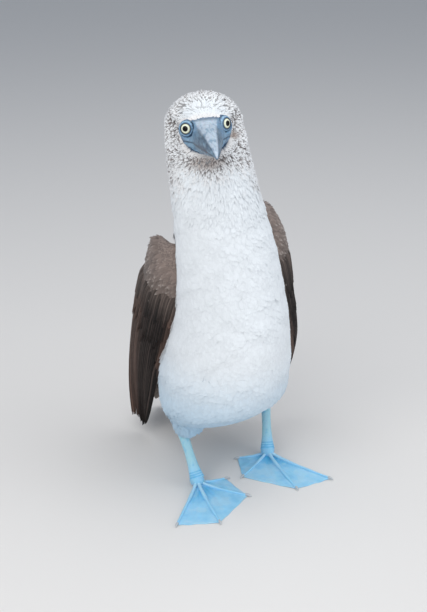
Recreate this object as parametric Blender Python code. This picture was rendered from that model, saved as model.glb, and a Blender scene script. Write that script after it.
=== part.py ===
"""A blue-footed booby standing upright, life size, as closed solids in metres.

The bird looks along -Y, its left side is +X and it stands on the floor at z = 0. Its weight is on its right
leg, so the trunk leans and the right shoulder and hip sit lower than the left ones.
"""

import math

import bmesh
import bpy
import numpy as np
from mathutils import Matrix, Vector

# Clearance between touching solids
GAP = 0.0003

# Place of the whole bird, so that the origin lies under the middle of its bounding box
STANCE_SHIFT = (-0.0061, 0.0135, 0.0)

# Trunk, as sections from the belly up: height, middle x, middle y, half width, depth ahead, depth behind
TRUNK = (
    (0.0750, -0.0270, 0.014, 0.0220, 0.022, 0.034),
    (0.0790, -0.0240, 0.008, 0.0440, 0.042, 0.068),
    (0.0890, -0.0195, -0.002, 0.0610, 0.060, 0.102),
    (0.1030, -0.0160, -0.011, 0.0710, 0.074, 0.132),
    (0.1220, -0.0135, -0.018, 0.0765, 0.086, 0.144),
    (0.1500, -0.0125, -0.024, 0.0765, 0.088, 0.128),
    (0.1800, -0.0110, -0.032, 0.0720, 0.085, 0.106),
    (0.2150, -0.0110, -0.044, 0.0665, 0.077, 0.088),
    (0.2500, -0.0145, -0.055, 0.0615, 0.067, 0.075),
    (0.2900, -0.0205, -0.066, 0.0575, 0.058, 0.063),
    (0.3300, -0.0285, -0.075, 0.0530, 0.051, 0.055),
    (0.3700, -0.0375, -0.082, 0.0480, 0.0465, 0.049),
    (0.3980, -0.0430, -0.085, 0.0450, 0.043, 0.045),
    (0.4200, -0.0470, -0.085, 0.0438, 0.040, 0.044),
    (0.4400, -0.0490, -0.083, 0.0405, 0.026, 0.041),
    (0.4560, -0.0495, -0.080, 0.0260, 0.010, 0.028),
)
# The left side of every section is higher than the right
TRUNK_ROLL = math.radians(8.0)
TRUNK_STEPS = 26
TRUNK_SIDES = 28
# Neck from torso and head from neck: height at the bird's middle, and the slope of each cut towards the front
NECK_CUT = ((0.0, -0.070, 0.300), (0.0, -0.20, 1.0))
HEAD_CUT = ((0.0, -0.084, 0.386), (0.0, -0.08, 1.0))

# Head frame: centre, and its turn towards the left, nod and tilt
HEAD_CENTRE = (-0.0496, -0.0846, 0.4421)
HEAD_YAW = math.radians(-6.9)
HEAD_PITCH = math.radians(-3.8)
HEAD_ROLL = math.radians(-5.0)

# Feathered head along the bill's direction: distance ahead, half width, height above, depth below
HEAD = (
    (-0.0500, 0.006, 0.005, 0.008),
    (-0.0450, 0.022, 0.018, 0.024),
    (-0.0300, 0.0350, 0.0300, 0.040),
    (-0.0100, 0.0418, 0.0350, 0.047),
    (0.0080, 0.0410, 0.0345, 0.046),
    (0.0200, 0.0365, 0.0290, 0.041),
    (0.0280, 0.0305, 0.0215, 0.034),
    (0.0330, 0.0235, 0.0145, 0.027),
    (0.0360, 0.0130, 0.0080, 0.016),
)
HEAD_STEPS = 13
HEAD_SIDES = 24

# Bare face, a blunt wedge set into the feathered head: the same measures
FACE = (
    (0.0060, 0.0240, 0.0160, 0.0290),
    (0.0180, 0.0262, 0.0172, 0.0305),
    (0.0250, 0.0242, 0.0168, 0.0305),
    (0.0310, 0.0204, 0.0154, 0.0295),
    (0.0370, 0.0176, 0.0134, 0.0272),
    (0.0430, 0.0158, 0.0106, 0.0240),
    (0.0460, 0.0148, 0.0094, 0.0225),
)
FACE_STEPS = 10
FACE_SIDES = 24

# Bill, from the face's front
BILL_START = 0.046
BILL_LENGTH = 0.098
# Upper bill: share of the length, half width, culmen height, mouth-line height
MAXILLA = (
    (0.00, 0.0140, 0.0088, -0.0118),
    (0.20, 0.0122, 0.0066, -0.0114),
    (0.45, 0.0095, 0.0034, -0.0108),
    (0.70, 0.0066, -0.0006, -0.0105),
    (0.88, 0.0042, -0.0046, -0.0108),
    (0.97, 0.0022, -0.0084, -0.0120),
    (1.00, 0.0008, -0.0114, -0.0134),
)
# Lower bill: share of the length, half width, mouth-line height, height of the lower edge
MANDIBLE = (
    (0.00, 0.0134, -0.0121, -0.0262),
    (0.20, 0.0116, -0.0117, -0.0242),
    (0.45, 0.0088, -0.0111, -0.0206),
    (0.70, 0.0058, -0.0108, -0.0168),
    (0.86, 0.0032, -0.0111, -0.0142),
    (0.93, 0.0012, -0.0115, -0.0130),
)
# Below 1 the bill's section is fuller than an oval
BILL_FULLNESS = 0.8
BILL_STEPS = 12
BILL_SIDES = 14

# Eyes, in the head frame: distance ahead, distance to the side, height, and the way they look
EYE_AHEAD = 0.0252
EYE_ASIDE = 0.0152
EYE_UP = 0.0041
EYE_RADIUS = 0.0078
EYE_TURN = math.radians(44.0)
EYE_LIFT = 0.06
# Feathers keep this far from the middle of each eye
EYE_CLEARING = 0.0085
EYE_CLEARING_DEPTH = 0.04
EYE_SEGMENTS = 16
EYE_RINGS = 10
LID_RADIUS = 0.0066
LID_THICKNESS = 0.0015
LID_OUT = 0.0046
# Mouth line across the face: its corner and its front end, in the head frame
GAPE_CORNER = (0.0262, -0.020, -0.0085)
GAPE_FRONT = (0.0120, -0.052, -0.0121)
GAPE_GROOVE = 0.0008

# Folded wings: spine points from the wrist to the tip
WING_SPINE = {
    "right": (
        (-0.0810, -0.038, 0.300),
        (-0.0827, -0.006, 0.262),
        (-0.0869, 0.030, 0.203),
        (-0.0908, 0.074, 0.124),
        (-0.0892, 0.126, 0.018),
    ),
    "left": (
        (0.0220, -0.030, 0.336),
        (0.0520, -0.002, 0.288),
        (0.0730, 0.024, 0.218),
        (0.0930, 0.066, 0.136),
        (0.0980, 0.126, 0.026),
    ),
}
# Way across the wing towards its upper edge, at the wrist and at the tip: inwards, back, up
WING_ACROSS = {
    "right": ((-0.38, 0.80, 0.46), (-0.45, 0.78, 0.42)),
    "left": ((-0.30, 0.83, 0.50), (-0.10, 0.85, 0.50)),
}
# How fast the wing's outer face falls away from its middle line, at the wrist and at the tip
WING_CAMBER = (8.0, 8.0)
# Core of flesh and packed feathers: share along, lower edge, upper edge, outer thickness, inner thickness
WING_CORE = (
    (-0.024, -0.011, 0.011, 0.0035, 0.0035),
    (0.020, -0.027, 0.028, 0.0075, 0.0095),
    (0.100, -0.036, 0.038, 0.0090, 0.0120),
    (0.250, -0.038, 0.042, 0.0080, 0.0115),
    (0.420, -0.033, 0.038, 0.0058, 0.0095),
    (0.550, -0.023, 0.029, 0.0034, 0.0085),
    (0.640, -0.012, 0.016, 0.0012, 0.0060),
)
WING_STEPS = 11
WING_SIDES = 14
# Rows of wing feathers: how many, roots from and to as share along and distance across, tips from and to,
# half width, height of the first tip and what each next one adds, and the tilt of one edge above the other
WING_ROWS = (
    (
        "primary", 8, (0.50, -0.015), (0.50, 0.014),
        (1.03, -0.002), (0.79, 0.040), 0.0088, -0.0056, 0.0009, 0.0,
    ),
    (
        "secondary", 7, (0.36, 0.004), (0.20, 0.034),
        (0.79, 0.026), (0.62, 0.056), 0.0095, 0.0016, 0.0009, 0.0,
    ),
    (
        "greater_covert", 8, (0.30, -0.024), (0.17, 0.034),
        (0.55, -0.022), (0.42, 0.044), 0.0072, 0.0094, 0.0, 0.0006,
    ),
    (
        "median_covert", 8, (0.14, -0.024), (0.09, 0.028),
        (0.35, -0.028), (0.27, 0.035), 0.0068, 0.0108, 0.0, 0.0006,
    ),
    (
        "lesser_covert", 7, (0.05, -0.018), (0.03, 0.019),
        (0.20, -0.027), (0.17, 0.028), 0.0068, 0.0112, 0.0, 0.0006,
    ),
    (
        "wrist_covert", 5, (0.00, -0.008), (-0.005, 0.008),
        (0.11, -0.020), (0.09, 0.019), 0.0068, 0.0104, 0.0, 0.0006,
    ),
)
WING_GRID = 0.125
ROOT_SINK = 0.0022
# A feather leaves the core over this share of its length, and thins out over its last part
VANE_RISE = 0.45
VANE_THINNING = 0.20
# The last row before a feather's tip, as a share of its length, and the least part of a grid step between rows
VANE_POINT = 0.10
ROW_MARGIN = 0.3
# How far each tip strays along the wing from its even place
TIP_STRAY = 0.006
VANE_THICKNESS = 0.0007
VANE_TIP_THICKNESS = 0.0003
# Width of a feather along its length, as shares of its full width
VANE_OUTLINE = ((0.0, 0.50), (0.25, 0.85), (0.60, 1.00), (0.84, 0.88), (0.95, 0.55), (1.00, 0.12))
BLADE_OUTLINE = ((0.0, 0.60), (0.25, 0.90), (0.50, 1.00), (0.78, 0.80), (0.93, 0.45), (1.00, 0.10))

# Tail: root and tip of its middle line, and its core
TAIL_ROOT = (-0.024, 0.102, 0.106)
TAIL_TIP = (-0.056, 0.200, 0.0135)
TAIL_ROLL = math.radians(-7.0)
TAIL_BEND = 0.006
TAIL_CORE = (
    (-0.12, 0.020, 0.013),
    (0.10, 0.028, 0.011),
    (0.30, 0.027, 0.008),
    (0.45, 0.022, 0.005),
    (0.52, 0.014, 0.003),
)
TAIL_SIDES = 16
TAIL_STEPS = 8
# Feathers in each half of the fan, spread of roots and tips, half width, and the steps in length and height
TAIL_RANKS = 6
TAIL_ROOT_SPREAD = 0.0036
TAIL_TIP_SPREAD = 0.0064
TAIL_HALF_WIDTH = 0.0088
TAIL_SHORTER = 0.055
TAIL_STEP = 0.0011
# Where the tail feathers begin, and the shares of a feather's length with a row of points
TAIL_VANE_START = 0.16
TAIL_VANE_ROWS = (0.0, 0.22, 0.44, 0.66, 0.84, 0.95, 1.0)

# Legs. Ankle, where the toes meet, heel joint above it, and the middle toe's turn from straight ahead
FEET = {
    "right": {"ankle": (-0.048, -0.030, 0.011), "heel": (-0.060, -0.006, 0.060), "turn": 5.0, "side": -1},
    "left": {"ankle": (0.0525, 0.0273, 0.011), "heel": (0.055, 0.050, 0.064), "turn": 8.0, "side": 1},
}
TARSUS_RADIUS = (0.0075, 0.0058, 0.0054, 0.0062, 0.0090)
TARSUS_FLATNESS = 0.78
# How far the shank runs on into the thigh
TARSUS_SUNK = 0.009
# Thigh: how far its root lies inwards and ahead of the heel joint, and the root's height over the floor
THIGH_ROOT = (0.026, 0.010, 0.150)
# Thigh: share of the way from root to hem, half width
THIGH_WIDTH = ((0.0, 0.016), (0.14, 0.028), (0.40, 0.034), (0.72, 0.026), (0.90, 0.018), (1.0, 0.0125))

# Toes: angle from the middle toe towards the inner side, length, radius at root
TOES = (
    ("outer", -30.0, 0.092, 0.0048),
    ("middle", 0.0, 0.088, 0.0052),
    ("inner", 50.0, 0.062, 0.0046),
    ("hind", 98.0, 0.036, 0.0036),
)
TOE_TIP_SHARE = 0.55
TOE_HEIGHT = 0.0030
# How far the ankle stands over the toes' roots, how fast the toes come down from it, and their swollen joints
ANKLE_OVER_TOES = 0.002
TOE_DROP = 5.0
KNUCKLE_SWELL = 0.10
CLAW_LENGTH = 0.010
# Claw: share of its length, rise over the toe's line, half width
CLAW = ((-0.4, 0.0, 0.0022), (0.4, 0.0004, 0.0018), (1.0, -0.0012, 0.0005))
# Ball under the ankle, where the toes meet
PAD_RADIUS = 0.0085
PAD_HEIGHT = 0.0075
WEB_THICKNESS = 0.0013
WEB_LIFT = 0.0008
WEB_ROWS = 5
WEB_COLUMNS = 3
WEB_HOLLOW = 0.10
# The web ends at this share of the toes, keeps this share of their rise, and starts spread by part of a row
WEB_END = 0.97
WEB_RISE = 0.85
WEB_ROOT_SPREAD = 0.12

COLOURS = {
    "white_plumage": ((0.80, 0.84, 0.87), 0.85),
    "streaked_plumage": ((0.55, 0.52, 0.50), 0.85),
    "brown_plumage": ((0.10, 0.075, 0.065), 0.70),
    "tail_plumage": ((0.16, 0.13, 0.11), 0.70),
    "bare_face": ((0.20, 0.36, 0.52), 0.50),
    "bill_horn": ((0.42, 0.55, 0.68), 0.40),
    "blue_skin": ((0.16, 0.55, 0.86), 0.50),
    "eye": ((0.72, 0.72, 0.45), 0.08),
}


def clear_scene():
    """Removes whatever the scene holds."""
    for thing in list(bpy.data.objects):
        bpy.data.objects.remove(thing)


def collection(name):
    """A new collection in the scene."""
    made = bpy.data.collections.new(name)
    bpy.context.scene.collection.children.link(made)
    return made


def materials():
    """One Principled material for each finish."""
    made = {}
    for name, (colour, roughness) in COLOURS.items():
        material = bpy.data.materials.new(name)
        material.use_nodes = True
        shader = material.node_tree.nodes["Principled BSDF"]
        shader.inputs["Base Color"].default_value = (*colour, 1.0)
        shader.inputs["Roughness"].default_value = roughness
        shader.inputs["Metallic"].default_value = 0.0
        made[name] = material
    return made


def smooth_table(rows, count):
    """Rows of numbers read at even steps of the first column's order, along a smooth curve through them."""
    rows = np.array(rows, float)
    knots = np.arange(len(rows), dtype=float)
    at = np.linspace(0.0, knots[-1], count)
    return np.stack([smooth_read(knots, column, at) for column in rows.T], axis=1)


def smooth_read(knots, values, at):
    """A cubic through the values, with slopes that don't overshoot between them."""
    gaps = np.diff(knots)
    rises = np.diff(values) / gaps
    slopes = np.empty_like(values)
    slopes[1:-1] = np.where(
        rises[:-1] * rises[1:] > 0,
        2 * rises[:-1] * rises[1:] / np.where(rises[:-1] + rises[1:] == 0, 1, rises[:-1] + rises[1:]),
        0,
    )
    slopes[0], slopes[-1] = rises[0], rises[-1]
    i = np.clip(np.searchsorted(knots, at, side="right") - 1, 0, len(gaps) - 1)
    t = (at - knots[i]) / gaps[i]
    a, b = values[i], values[i + 1]
    m, n = slopes[i] * gaps[i], slopes[i + 1] * gaps[i]
    return (
        a * (2 * t**3 - 3 * t**2 + 1)
        + m * (t**3 - 2 * t**2 + t)
        + b * (3 * t**2 - 2 * t**3)
        + n * (t**3 - t**2)
    )


def unit(vectors):
    """Vectors scaled to length one."""
    return vectors / np.linalg.norm(vectors, axis=-1, keepdims=True)


def new_object(name, mesh, group):
    """An object of this mesh in this collection."""
    thing = bpy.data.objects.new(name, mesh)
    group.objects.link(thing)
    return thing


def lofted(name, rings, group):
    """A closed solid through rings of equal numbers of points, with flat ends."""
    rings = np.asarray(rings, float)
    count, sides = rings.shape[:2]
    mesh = bpy.data.meshes.new(name)
    work = bmesh.new()
    points = [[work.verts.new(point) for point in ring] for ring in rings]
    for i in range(count - 1):
        for j in range(sides):
            k = (j + 1) % sides
            work.faces.new((points[i][j], points[i][k], points[i + 1][k], points[i + 1][j]))
    work.faces.new(reversed(points[0]))
    work.faces.new(points[-1])
    bmesh.ops.recalc_face_normals(work, faces=work.faces)
    bmesh.ops.triangulate(work, faces=work.faces)
    work.to_mesh(mesh)
    work.free()
    return new_object(name, mesh, group)


def round_ring(centre, side, up, width, above, below, sides, power=2.0):
    """A closed ring round a centre: an oval whose upper and lower halves have their own heights."""
    turn = np.linspace(0, 2 * math.pi, sides, endpoint=False)
    c, s = np.cos(turn), np.sin(turn)
    across = np.sign(c) * np.abs(c) ** (2 / power) * width
    height = np.sign(s) * np.abs(s) ** (2 / power) * np.where(s > 0, above, below)
    return centre + across[:, None] * side + height[:, None] * up


def apply_modifiers(thing):
    """Bakes an object's modifiers into its mesh."""
    graph = bpy.context.evaluated_depsgraph_get()
    mesh = bpy.data.meshes.new_from_object(thing.evaluated_get(graph))
    thing.modifiers.clear()
    thing.data = mesh


def keep_largest(thing):
    """Keeps only the closed surface that takes in the most room."""
    work = bmesh.new()
    work.from_mesh(thing.data)
    bmesh.ops.remove_doubles(work, verts=work.verts, dist=1e-6)
    left, shells = set(work.faces), []
    while left:
        start = left.pop()
        shell, front = {start}, [start]
        while front:
            for edge in front.pop().edges:
                for face in edge.link_faces:
                    if face in left:
                        left.remove(face)
                        shell.add(face)
                        front.append(face)
        shells.append(shell)
    shells.sort(key=lambda shell: sum(face.calc_area() for face in shell))
    for shell in shells[:-1]:
        bmesh.ops.delete(work, geom=list(shell), context="FACES")
    loose = [vert for vert in work.verts if not vert.link_faces]
    bmesh.ops.delete(work, geom=loose, context="VERTS")
    bmesh.ops.triangulate(work, faces=work.faces)
    work.to_mesh(thing.data)
    work.free()


def boolean(thing, other, operation, solver="EXACT"):
    """Joins, cuts or crosses one object with another, which is then removed."""
    modifier = thing.modifiers.new(operation.title(), "BOOLEAN")
    modifier.operation = operation
    modifier.solver = solver
    modifier.object = other
    apply_modifiers(thing)
    bpy.data.objects.remove(other)
    keep_largest(thing)
    return thing


def joined(thing, pieces, solver="EXACT"):
    """One Boolean union of an object with a collection of closed pieces, which are then removed."""
    group = collection("pieces")
    for piece in pieces:
        for owner in list(piece.users_collection):
            owner.objects.unlink(piece)
        group.objects.link(piece)
    modifier = thing.modifiers.new("Union", "BOOLEAN")
    modifier.operation = "UNION"
    modifier.solver = solver
    modifier.operand_type = "COLLECTION"
    modifier.collection = group
    apply_modifiers(thing)
    for piece in list(group.objects):
        bpy.data.objects.remove(piece)
    bpy.data.collections.remove(group)
    keep_largest(thing)
    return thing


def copy_of(thing, grow=0.0):
    """A copy of an object, its surface moved outwards by this much."""
    twin = bpy.data.objects.new(thing.name + "_copy", thing.data.copy())
    bpy.context.scene.collection.objects.link(twin)
    if grow:
        work = bmesh.new()
        work.from_mesh(twin.data)
        work.normal_update()
        moved = [vert.co + vert.normal * grow for vert in work.verts]
        for vert, place in zip(work.verts, moved):
            vert.co = place
        work.to_mesh(twin.data)
        work.free()
    return twin


def clear_of(thing, neighbour):
    """Cuts an object back so that it meets its neighbour with the usual gap."""
    return boolean(thing, copy_of(neighbour, GAP), "DIFFERENCE")


def beyond_plane(thing, place, way):
    """Keeps what lies on the side of a plane that the way points to, and closes the cut."""
    work = bmesh.new()
    work.from_mesh(thing.data)
    everything = work.verts[:] + work.edges[:] + work.faces[:]
    found = bmesh.ops.bisect_plane(work, geom=everything, plane_co=place, plane_no=way, clear_inner=True)
    edges = [item for item in found["geom_cut"] if isinstance(item, bmesh.types.BMEdge)]
    bmesh.ops.holes_fill(work, edges=edges, sides=0)
    bmesh.ops.triangulate(work, faces=work.faces)
    bmesh.ops.recalc_face_normals(work, faces=work.faces)
    work.to_mesh(thing.data)
    work.free()
    return thing


def moved(thing, matrix):
    """Applies a matrix to an object's mesh."""
    thing.data.transform(matrix)
    if matrix.determinant() < 0:
        thing.data.flip_normals()
    return thing


def finished(thing, name, material, group, matrix=None):
    """Names an object, gives it its material and place, and puts it among the parts."""
    if matrix is not None:
        moved(thing, matrix)
    thing.name = name
    thing.data.name = name
    thing.data.materials.clear()
    thing.data.materials.append(material)
    for owner in list(thing.users_collection):
        owner.objects.unlink(thing)
    group.objects.link(thing)
    thing.data.shade_smooth()
    thing.data.set_sharp_from_angle(angle=math.radians(45))
    return thing


def head_matrix():
    """From the head frame, ahead along -Y and up along +Z, to the bird's place."""
    turn = (
        Matrix.Rotation(HEAD_YAW, 4, "Z")
        @ Matrix.Rotation(HEAD_ROLL, 4, "Y")
        @ Matrix.Rotation(HEAD_PITCH, 4, "X")
    )
    return Matrix.Translation(HEAD_CENTRE) @ turn


def trunk(group):
    """Torso and neck as one loft of level sections."""
    left = np.array([math.cos(TRUNK_ROLL), 0.0, math.sin(TRUNK_ROLL)])
    rings = [
        round_ring(np.array([x, y, z]), left, np.array([0, -1.0, 0]), width, ahead, behind, TRUNK_SIDES)
        for z, x, y, width, ahead, behind in smooth_table(TRUNK, TRUNK_STEPS)
    ]
    return lofted("trunk", rings, group)


def blunt_form(name, stations, steps, sides, group):
    """A loft along the bill's direction in the head frame."""
    left, up = np.array([1.0, 0, 0]), np.array([0, 0, 1.0])
    rings = [
        round_ring(np.array([0.0, -ahead, 0.0]), left, up, width, above, below, sides)
        for ahead, width, above, below in smooth_table(stations, steps)
    ]
    return lofted(name, rings, group)


def bill_half(name, table, group):
    """Upper or lower bill in the head frame: arched on its outer side, flat along the mouth."""
    rings = []
    for share, width, above, below in smooth_table(table, BILL_STEPS):
        ahead = BILL_START + GAP + share * BILL_LENGTH
        outer_above = name == "maxilla"
        flat, arch = (below, above) if outer_above else (above, below)
        turn = np.linspace(0, math.pi, BILL_SIDES // 2 + 1)
        arc_x = np.cos(turn) * width
        arc_z = flat + np.sin(turn) ** BILL_FULLNESS * (arch - flat)
        ring = np.stack([arc_x, np.full_like(arc_x, -ahead), arc_z], axis=1)
        middle = np.array([[0.0, -ahead, flat]])
        rings.append(np.concatenate([ring, middle]))
    return lofted(name, rings, group)


def sphere(name, radius, place, group, segments=24, rings=12):
    """A ball at a place."""
    mesh = bpy.data.meshes.new(name)
    work = bmesh.new()
    bmesh.ops.create_uvsphere(work, u_segments=segments, v_segments=rings, radius=radius)
    bmesh.ops.translate(work, verts=work.verts, vec=place)
    bmesh.ops.triangulate(work, faces=work.faces)
    work.to_mesh(mesh)
    work.free()
    return new_object(name, mesh, group)


def cylinder(name, radius, start, end, group, segments=20):
    """A round bar between two places."""
    start, end = Vector(start), Vector(end)
    mesh = bpy.data.meshes.new(name)
    work = bmesh.new()
    bmesh.ops.create_cone(
        work, cap_ends=True, segments=segments, radius1=radius, radius2=radius, depth=(end - start).length
    )
    turn = (end - start).to_track_quat("Z", "Y").to_matrix().to_4x4()
    bmesh.ops.transform(work, matrix=Matrix.Translation((start + end) / 2) @ turn, verts=work.verts)
    bmesh.ops.triangulate(work, faces=work.faces)
    work.to_mesh(mesh)
    work.free()
    return new_object(name, mesh, group)


def torus(name, major, minor, matrix, group, segments=16, sides=6):
    """A ring of round section about the matrix's Z axis."""
    around = np.linspace(0, 2 * math.pi, segments, endpoint=False)
    about = np.linspace(0, 2 * math.pi, sides, endpoint=False)
    a, b = np.meshgrid(around, about, indexing="ij")
    reach = major + minor * np.cos(b)
    points = np.stack([reach * np.cos(a), reach * np.sin(a), minor * np.sin(b)], axis=-1)
    mesh = bpy.data.meshes.new(name)
    work = bmesh.new()
    verts = [[work.verts.new(point) for point in ring] for ring in points]
    for i in range(segments):
        for j in range(sides):
            k, m = (i + 1) % segments, (j + 1) % sides
            work.faces.new((verts[i][j], verts[k][j], verts[k][m], verts[i][m]))
    bmesh.ops.recalc_face_normals(work, faces=work.faces)
    bmesh.ops.triangulate(work, faces=work.faces)
    bmesh.ops.transform(work, matrix=matrix, verts=work.verts)
    work.to_mesh(mesh)
    work.free()
    return new_object(name, mesh, group)


def eye_place(side):
    """Centre of an eyeball in the head frame, and the way it looks."""
    look = Vector((side * math.sin(EYE_TURN), -math.cos(EYE_TURN), EYE_LIFT)).normalized()
    return Vector((side * EYE_ASIDE, -EYE_AHEAD, EYE_UP)), look


def lid(side, group, grow=0.0):
    """The bare ring round an eye, in the head frame."""
    centre, look = eye_place(side)
    turn = look.to_track_quat("Z", "Y").to_matrix().to_4x4()
    matrix = Matrix.Translation(centre + look * LID_OUT) @ turn
    return torus("lid", LID_RADIUS, LID_THICKNESS + grow, matrix, group)


def eyeball(side, group, grow=0.0):
    """An eyeball, in the head frame."""
    return sphere("ball", EYE_RADIUS + grow, eye_place(side)[0], group, EYE_SEGMENTS, EYE_RINGS)


def mouth_line(side, group):
    """A thin bar along the mouth line across the face."""
    corner, front = Vector(GAPE_CORNER), Vector(GAPE_FRONT)
    corner.x *= side
    front.x *= side
    return cylinder("mouth", GAPE_GROOVE, corner, front, group, 6)


def head_nodes(form, group, finishes, parts, matrix):
    """Splits the head into feathered head and bare face, and adds lids, eyes and bill."""
    face = blunt_form("face_form", FACE, FACE_STEPS, FACE_SIDES, group)
    clear_of(form, face)
    for side in (-1, 1):
        boolean(form, lid(side, group, GAP), "DIFFERENCE")
        boolean(form, eyeball(side, group, GAP), "DIFFERENCE")
        place, look = eye_place(side)
        clearing = cylinder("clearing", EYE_CLEARING, place, place + look * EYE_CLEARING_DEPTH, group, 16)
        boolean(form, clearing, "DIFFERENCE")
    joined(face, [lid(-1, group), lid(1, group)])
    for side, name in ((-1, "eye_right"), (1, "eye_left")):
        boolean(face, eyeball(side, group, GAP), "DIFFERENCE")
        boolean(face, mouth_line(side, group), "DIFFERENCE")
        finished(eyeball(side, group), name, finishes["eye"], parts, matrix)
    finished(bill_half("maxilla", MAXILLA, group), "maxilla", finishes["bill_horn"], parts, matrix)
    finished(bill_half("mandible", MANDIBLE, group), "mandible", finishes["bill_horn"], parts, matrix)
    finished(face, "face", finishes["bare_face"], parts, matrix)
    finished(form, "head", finishes["streaked_plumage"], parts, matrix)


def wing_frame(side, u):
    """Spine point, way across and way outwards of a wing at shares along it."""
    spine = np.array(WING_SPINE[side])
    outer = 1.0 if side == "left" else -1.0
    steps = np.linalg.norm(np.diff(spine, axis=0), axis=1)
    knots = np.concatenate([[0], np.cumsum(steps)]) / steps.sum()
    u = np.atleast_1d(np.asarray(u, float))
    at = np.clip(u, 0, 1)
    nudge = 1e-3

    def read(share):
        return np.stack([smooth_read(knots, column, np.clip(share, 0, 1)) for column in spine.T], axis=1)

    way = unit(read(at + nudge) - read(at - nudge))
    place = read(at) + way * ((u - at) * steps.sum())[:, None]
    share = at[:, None]
    at_wrist, at_tip = np.array(WING_ACROSS[side])
    across = (1 - share) * at_wrist + share * at_tip
    across[:, 0] *= -outer
    across = unit(across - (across * way).sum(axis=1, keepdims=True) * way)
    outwards = np.cross(across, way)
    outwards *= outer * np.sign(outwards[:, :1])
    return place, across, outwards


def wing_point(side, u, v, h):
    """A place on a wing: share along, distance across and height over its cambered middle."""
    place, across, outwards = wing_frame(side, u)
    v = np.asarray(v, float)
    share = np.clip(u, 0, 1)
    camber = (1 - share) * WING_CAMBER[0] + share * WING_CAMBER[1]
    lift = np.asarray(h, float) - camber * v**2
    return place + across * v[..., None] + outwards * lift[..., None]


def wing_core(side, group):
    """The folded arm and hand: a lens-shaped solid along the wing."""
    rings = []
    turn = np.linspace(0, 2 * math.pi, WING_SIDES, endpoint=False)
    for u, low, high, outer, inner in smooth_table(WING_CORE, WING_STEPS):
        v = (high + low) / 2 + np.cos(turn) * (high - low) / 2
        h = np.sin(turn) * np.where(np.sin(turn) > 0, outer, inner)
        rings.append(wing_point(side, np.full(WING_SIDES, u), v, h))
    return lofted("wing_core", rings, group)


def core_height(u, v):
    """Height of the core's outer face at a place on the wing."""
    table = np.array(WING_CORE)
    low, high, outer = (np.interp(u, table[:, 0], table[:, k]) for k in (1, 2, 3))
    share = np.clip((v - (low + high) / 2) / ((high - low) / 2), -1, 1)
    return outer * math.sqrt(1 - share**2)


def vane_rows(root, tip, grid=WING_GRID):
    """Shares along a wing at which a feather has a row: on the common grid, with extra ones near its tip."""
    near_tip = tip - VANE_POINT * (tip - root)
    first, last = math.ceil(root / grid + ROW_MARGIN), math.floor(near_tip / grid - ROW_MARGIN)
    grid_rows = np.arange(first, last + 1) * grid
    return np.concatenate([[root], grid_rows, [near_tip, tip]])


def vane_thickness(t):
    """Thickness of a feather at shares of its length: even, then thinner towards the tip."""
    return VANE_THICKNESS + (VANE_TIP_THICKNESS - VANE_THICKNESS) * np.clip((t - 1) / VANE_THINNING + 1, 0, 1)


def wing_vane(side, root, tip, half, level, tilt, outline, group):
    """One wing feather, from its root sunk in the core to its free tip."""
    u = vane_rows(root[0], tip[0])
    t = (u - u[0]) / (u[-1] - u[0])
    middle = root[1] + (tip[1] - root[1]) * t
    width = half * np.interp(t, *np.array(outline).T)
    thickness = vane_thickness(t)
    sunk = min(level, core_height(*root) - ROOT_SINK)
    rise = np.clip(t / VANE_RISE, 0, 1)
    height = sunk + (level - sunk) * rise * rise * (3 - 2 * rise)
    edges = np.array([-1.0, 1.0])
    u_grid = np.repeat(u[:, None], 2, axis=1)
    v_grid = middle[:, None] + edges * width[:, None]
    h_grid = height[:, None] + tilt * edges
    faces = []
    for way in (0.5, -0.5):
        h = h_grid + way * thickness[:, None]
        faces.append(wing_point(side, u_grid.ravel(), v_grid.ravel(), h.ravel()).reshape(len(u), 2, 3))
    return sheet_solid("vane", faces[0], faces[1], group)


def wing_vanes(side, group):
    """Every row of wing feathers, long blades first and the small coverts last."""
    vanes = []
    draw = np.random.default_rng(7)
    for name, count, first_root, last_root, first_tip, last_tip, half, level, step, tilt in WING_ROWS:
        outline = BLADE_OUTLINE if name in ("primary", "secondary") else VANE_OUTLINE
        for k in range(count):
            share = k / (count - 1)
            root = np.add(first_root, np.subtract(last_root, first_root) * share)
            tip = np.add(first_tip, np.subtract(last_tip, first_tip) * share)
            tip[0] += draw.uniform(-TIP_STRAY, TIP_STRAY)
            vanes.append(wing_vane(side, root, tip, half, level + step * k, tilt, outline, group))
    return vanes


def tail_frame():
    """Root, way to the tip, way to the left and way up of the tail."""
    root, tip = np.array(TAIL_ROOT), np.array(TAIL_TIP)
    way = unit(tip - root)
    left = np.array([math.cos(TAIL_ROLL), 0.0, -math.sin(TAIL_ROLL)])
    left = unit(left - way * (left @ way))
    return root, way, left, np.cross(left, way) * np.sign(np.cross(left, way)[2])


def tail_point(along, aside, height):
    """A place on the tail: share of its length, distance to the left and height over its middle."""
    root, way, left, up = tail_frame()
    length = np.linalg.norm(np.subtract(TAIL_TIP, TAIL_ROOT))
    along, aside, height = (np.asarray(value, float)[..., None] for value in (along, aside, height))
    bend = TAIL_BEND * along * (1 - along) * 4
    return root + way * along * length + left * aside + up * (height + bend)


def tail_core(group):
    """The stub that the tail feathers grow from."""
    turn = np.linspace(0, 2 * math.pi, TAIL_SIDES, endpoint=False)
    rings = [
        tail_point(np.full(TAIL_SIDES, share), np.cos(turn) * width, np.sin(turn) * thick)
        for share, width, thick in smooth_table(TAIL_CORE, TAIL_STEPS)
    ]
    return lofted("tail_core", rings, group)


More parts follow.
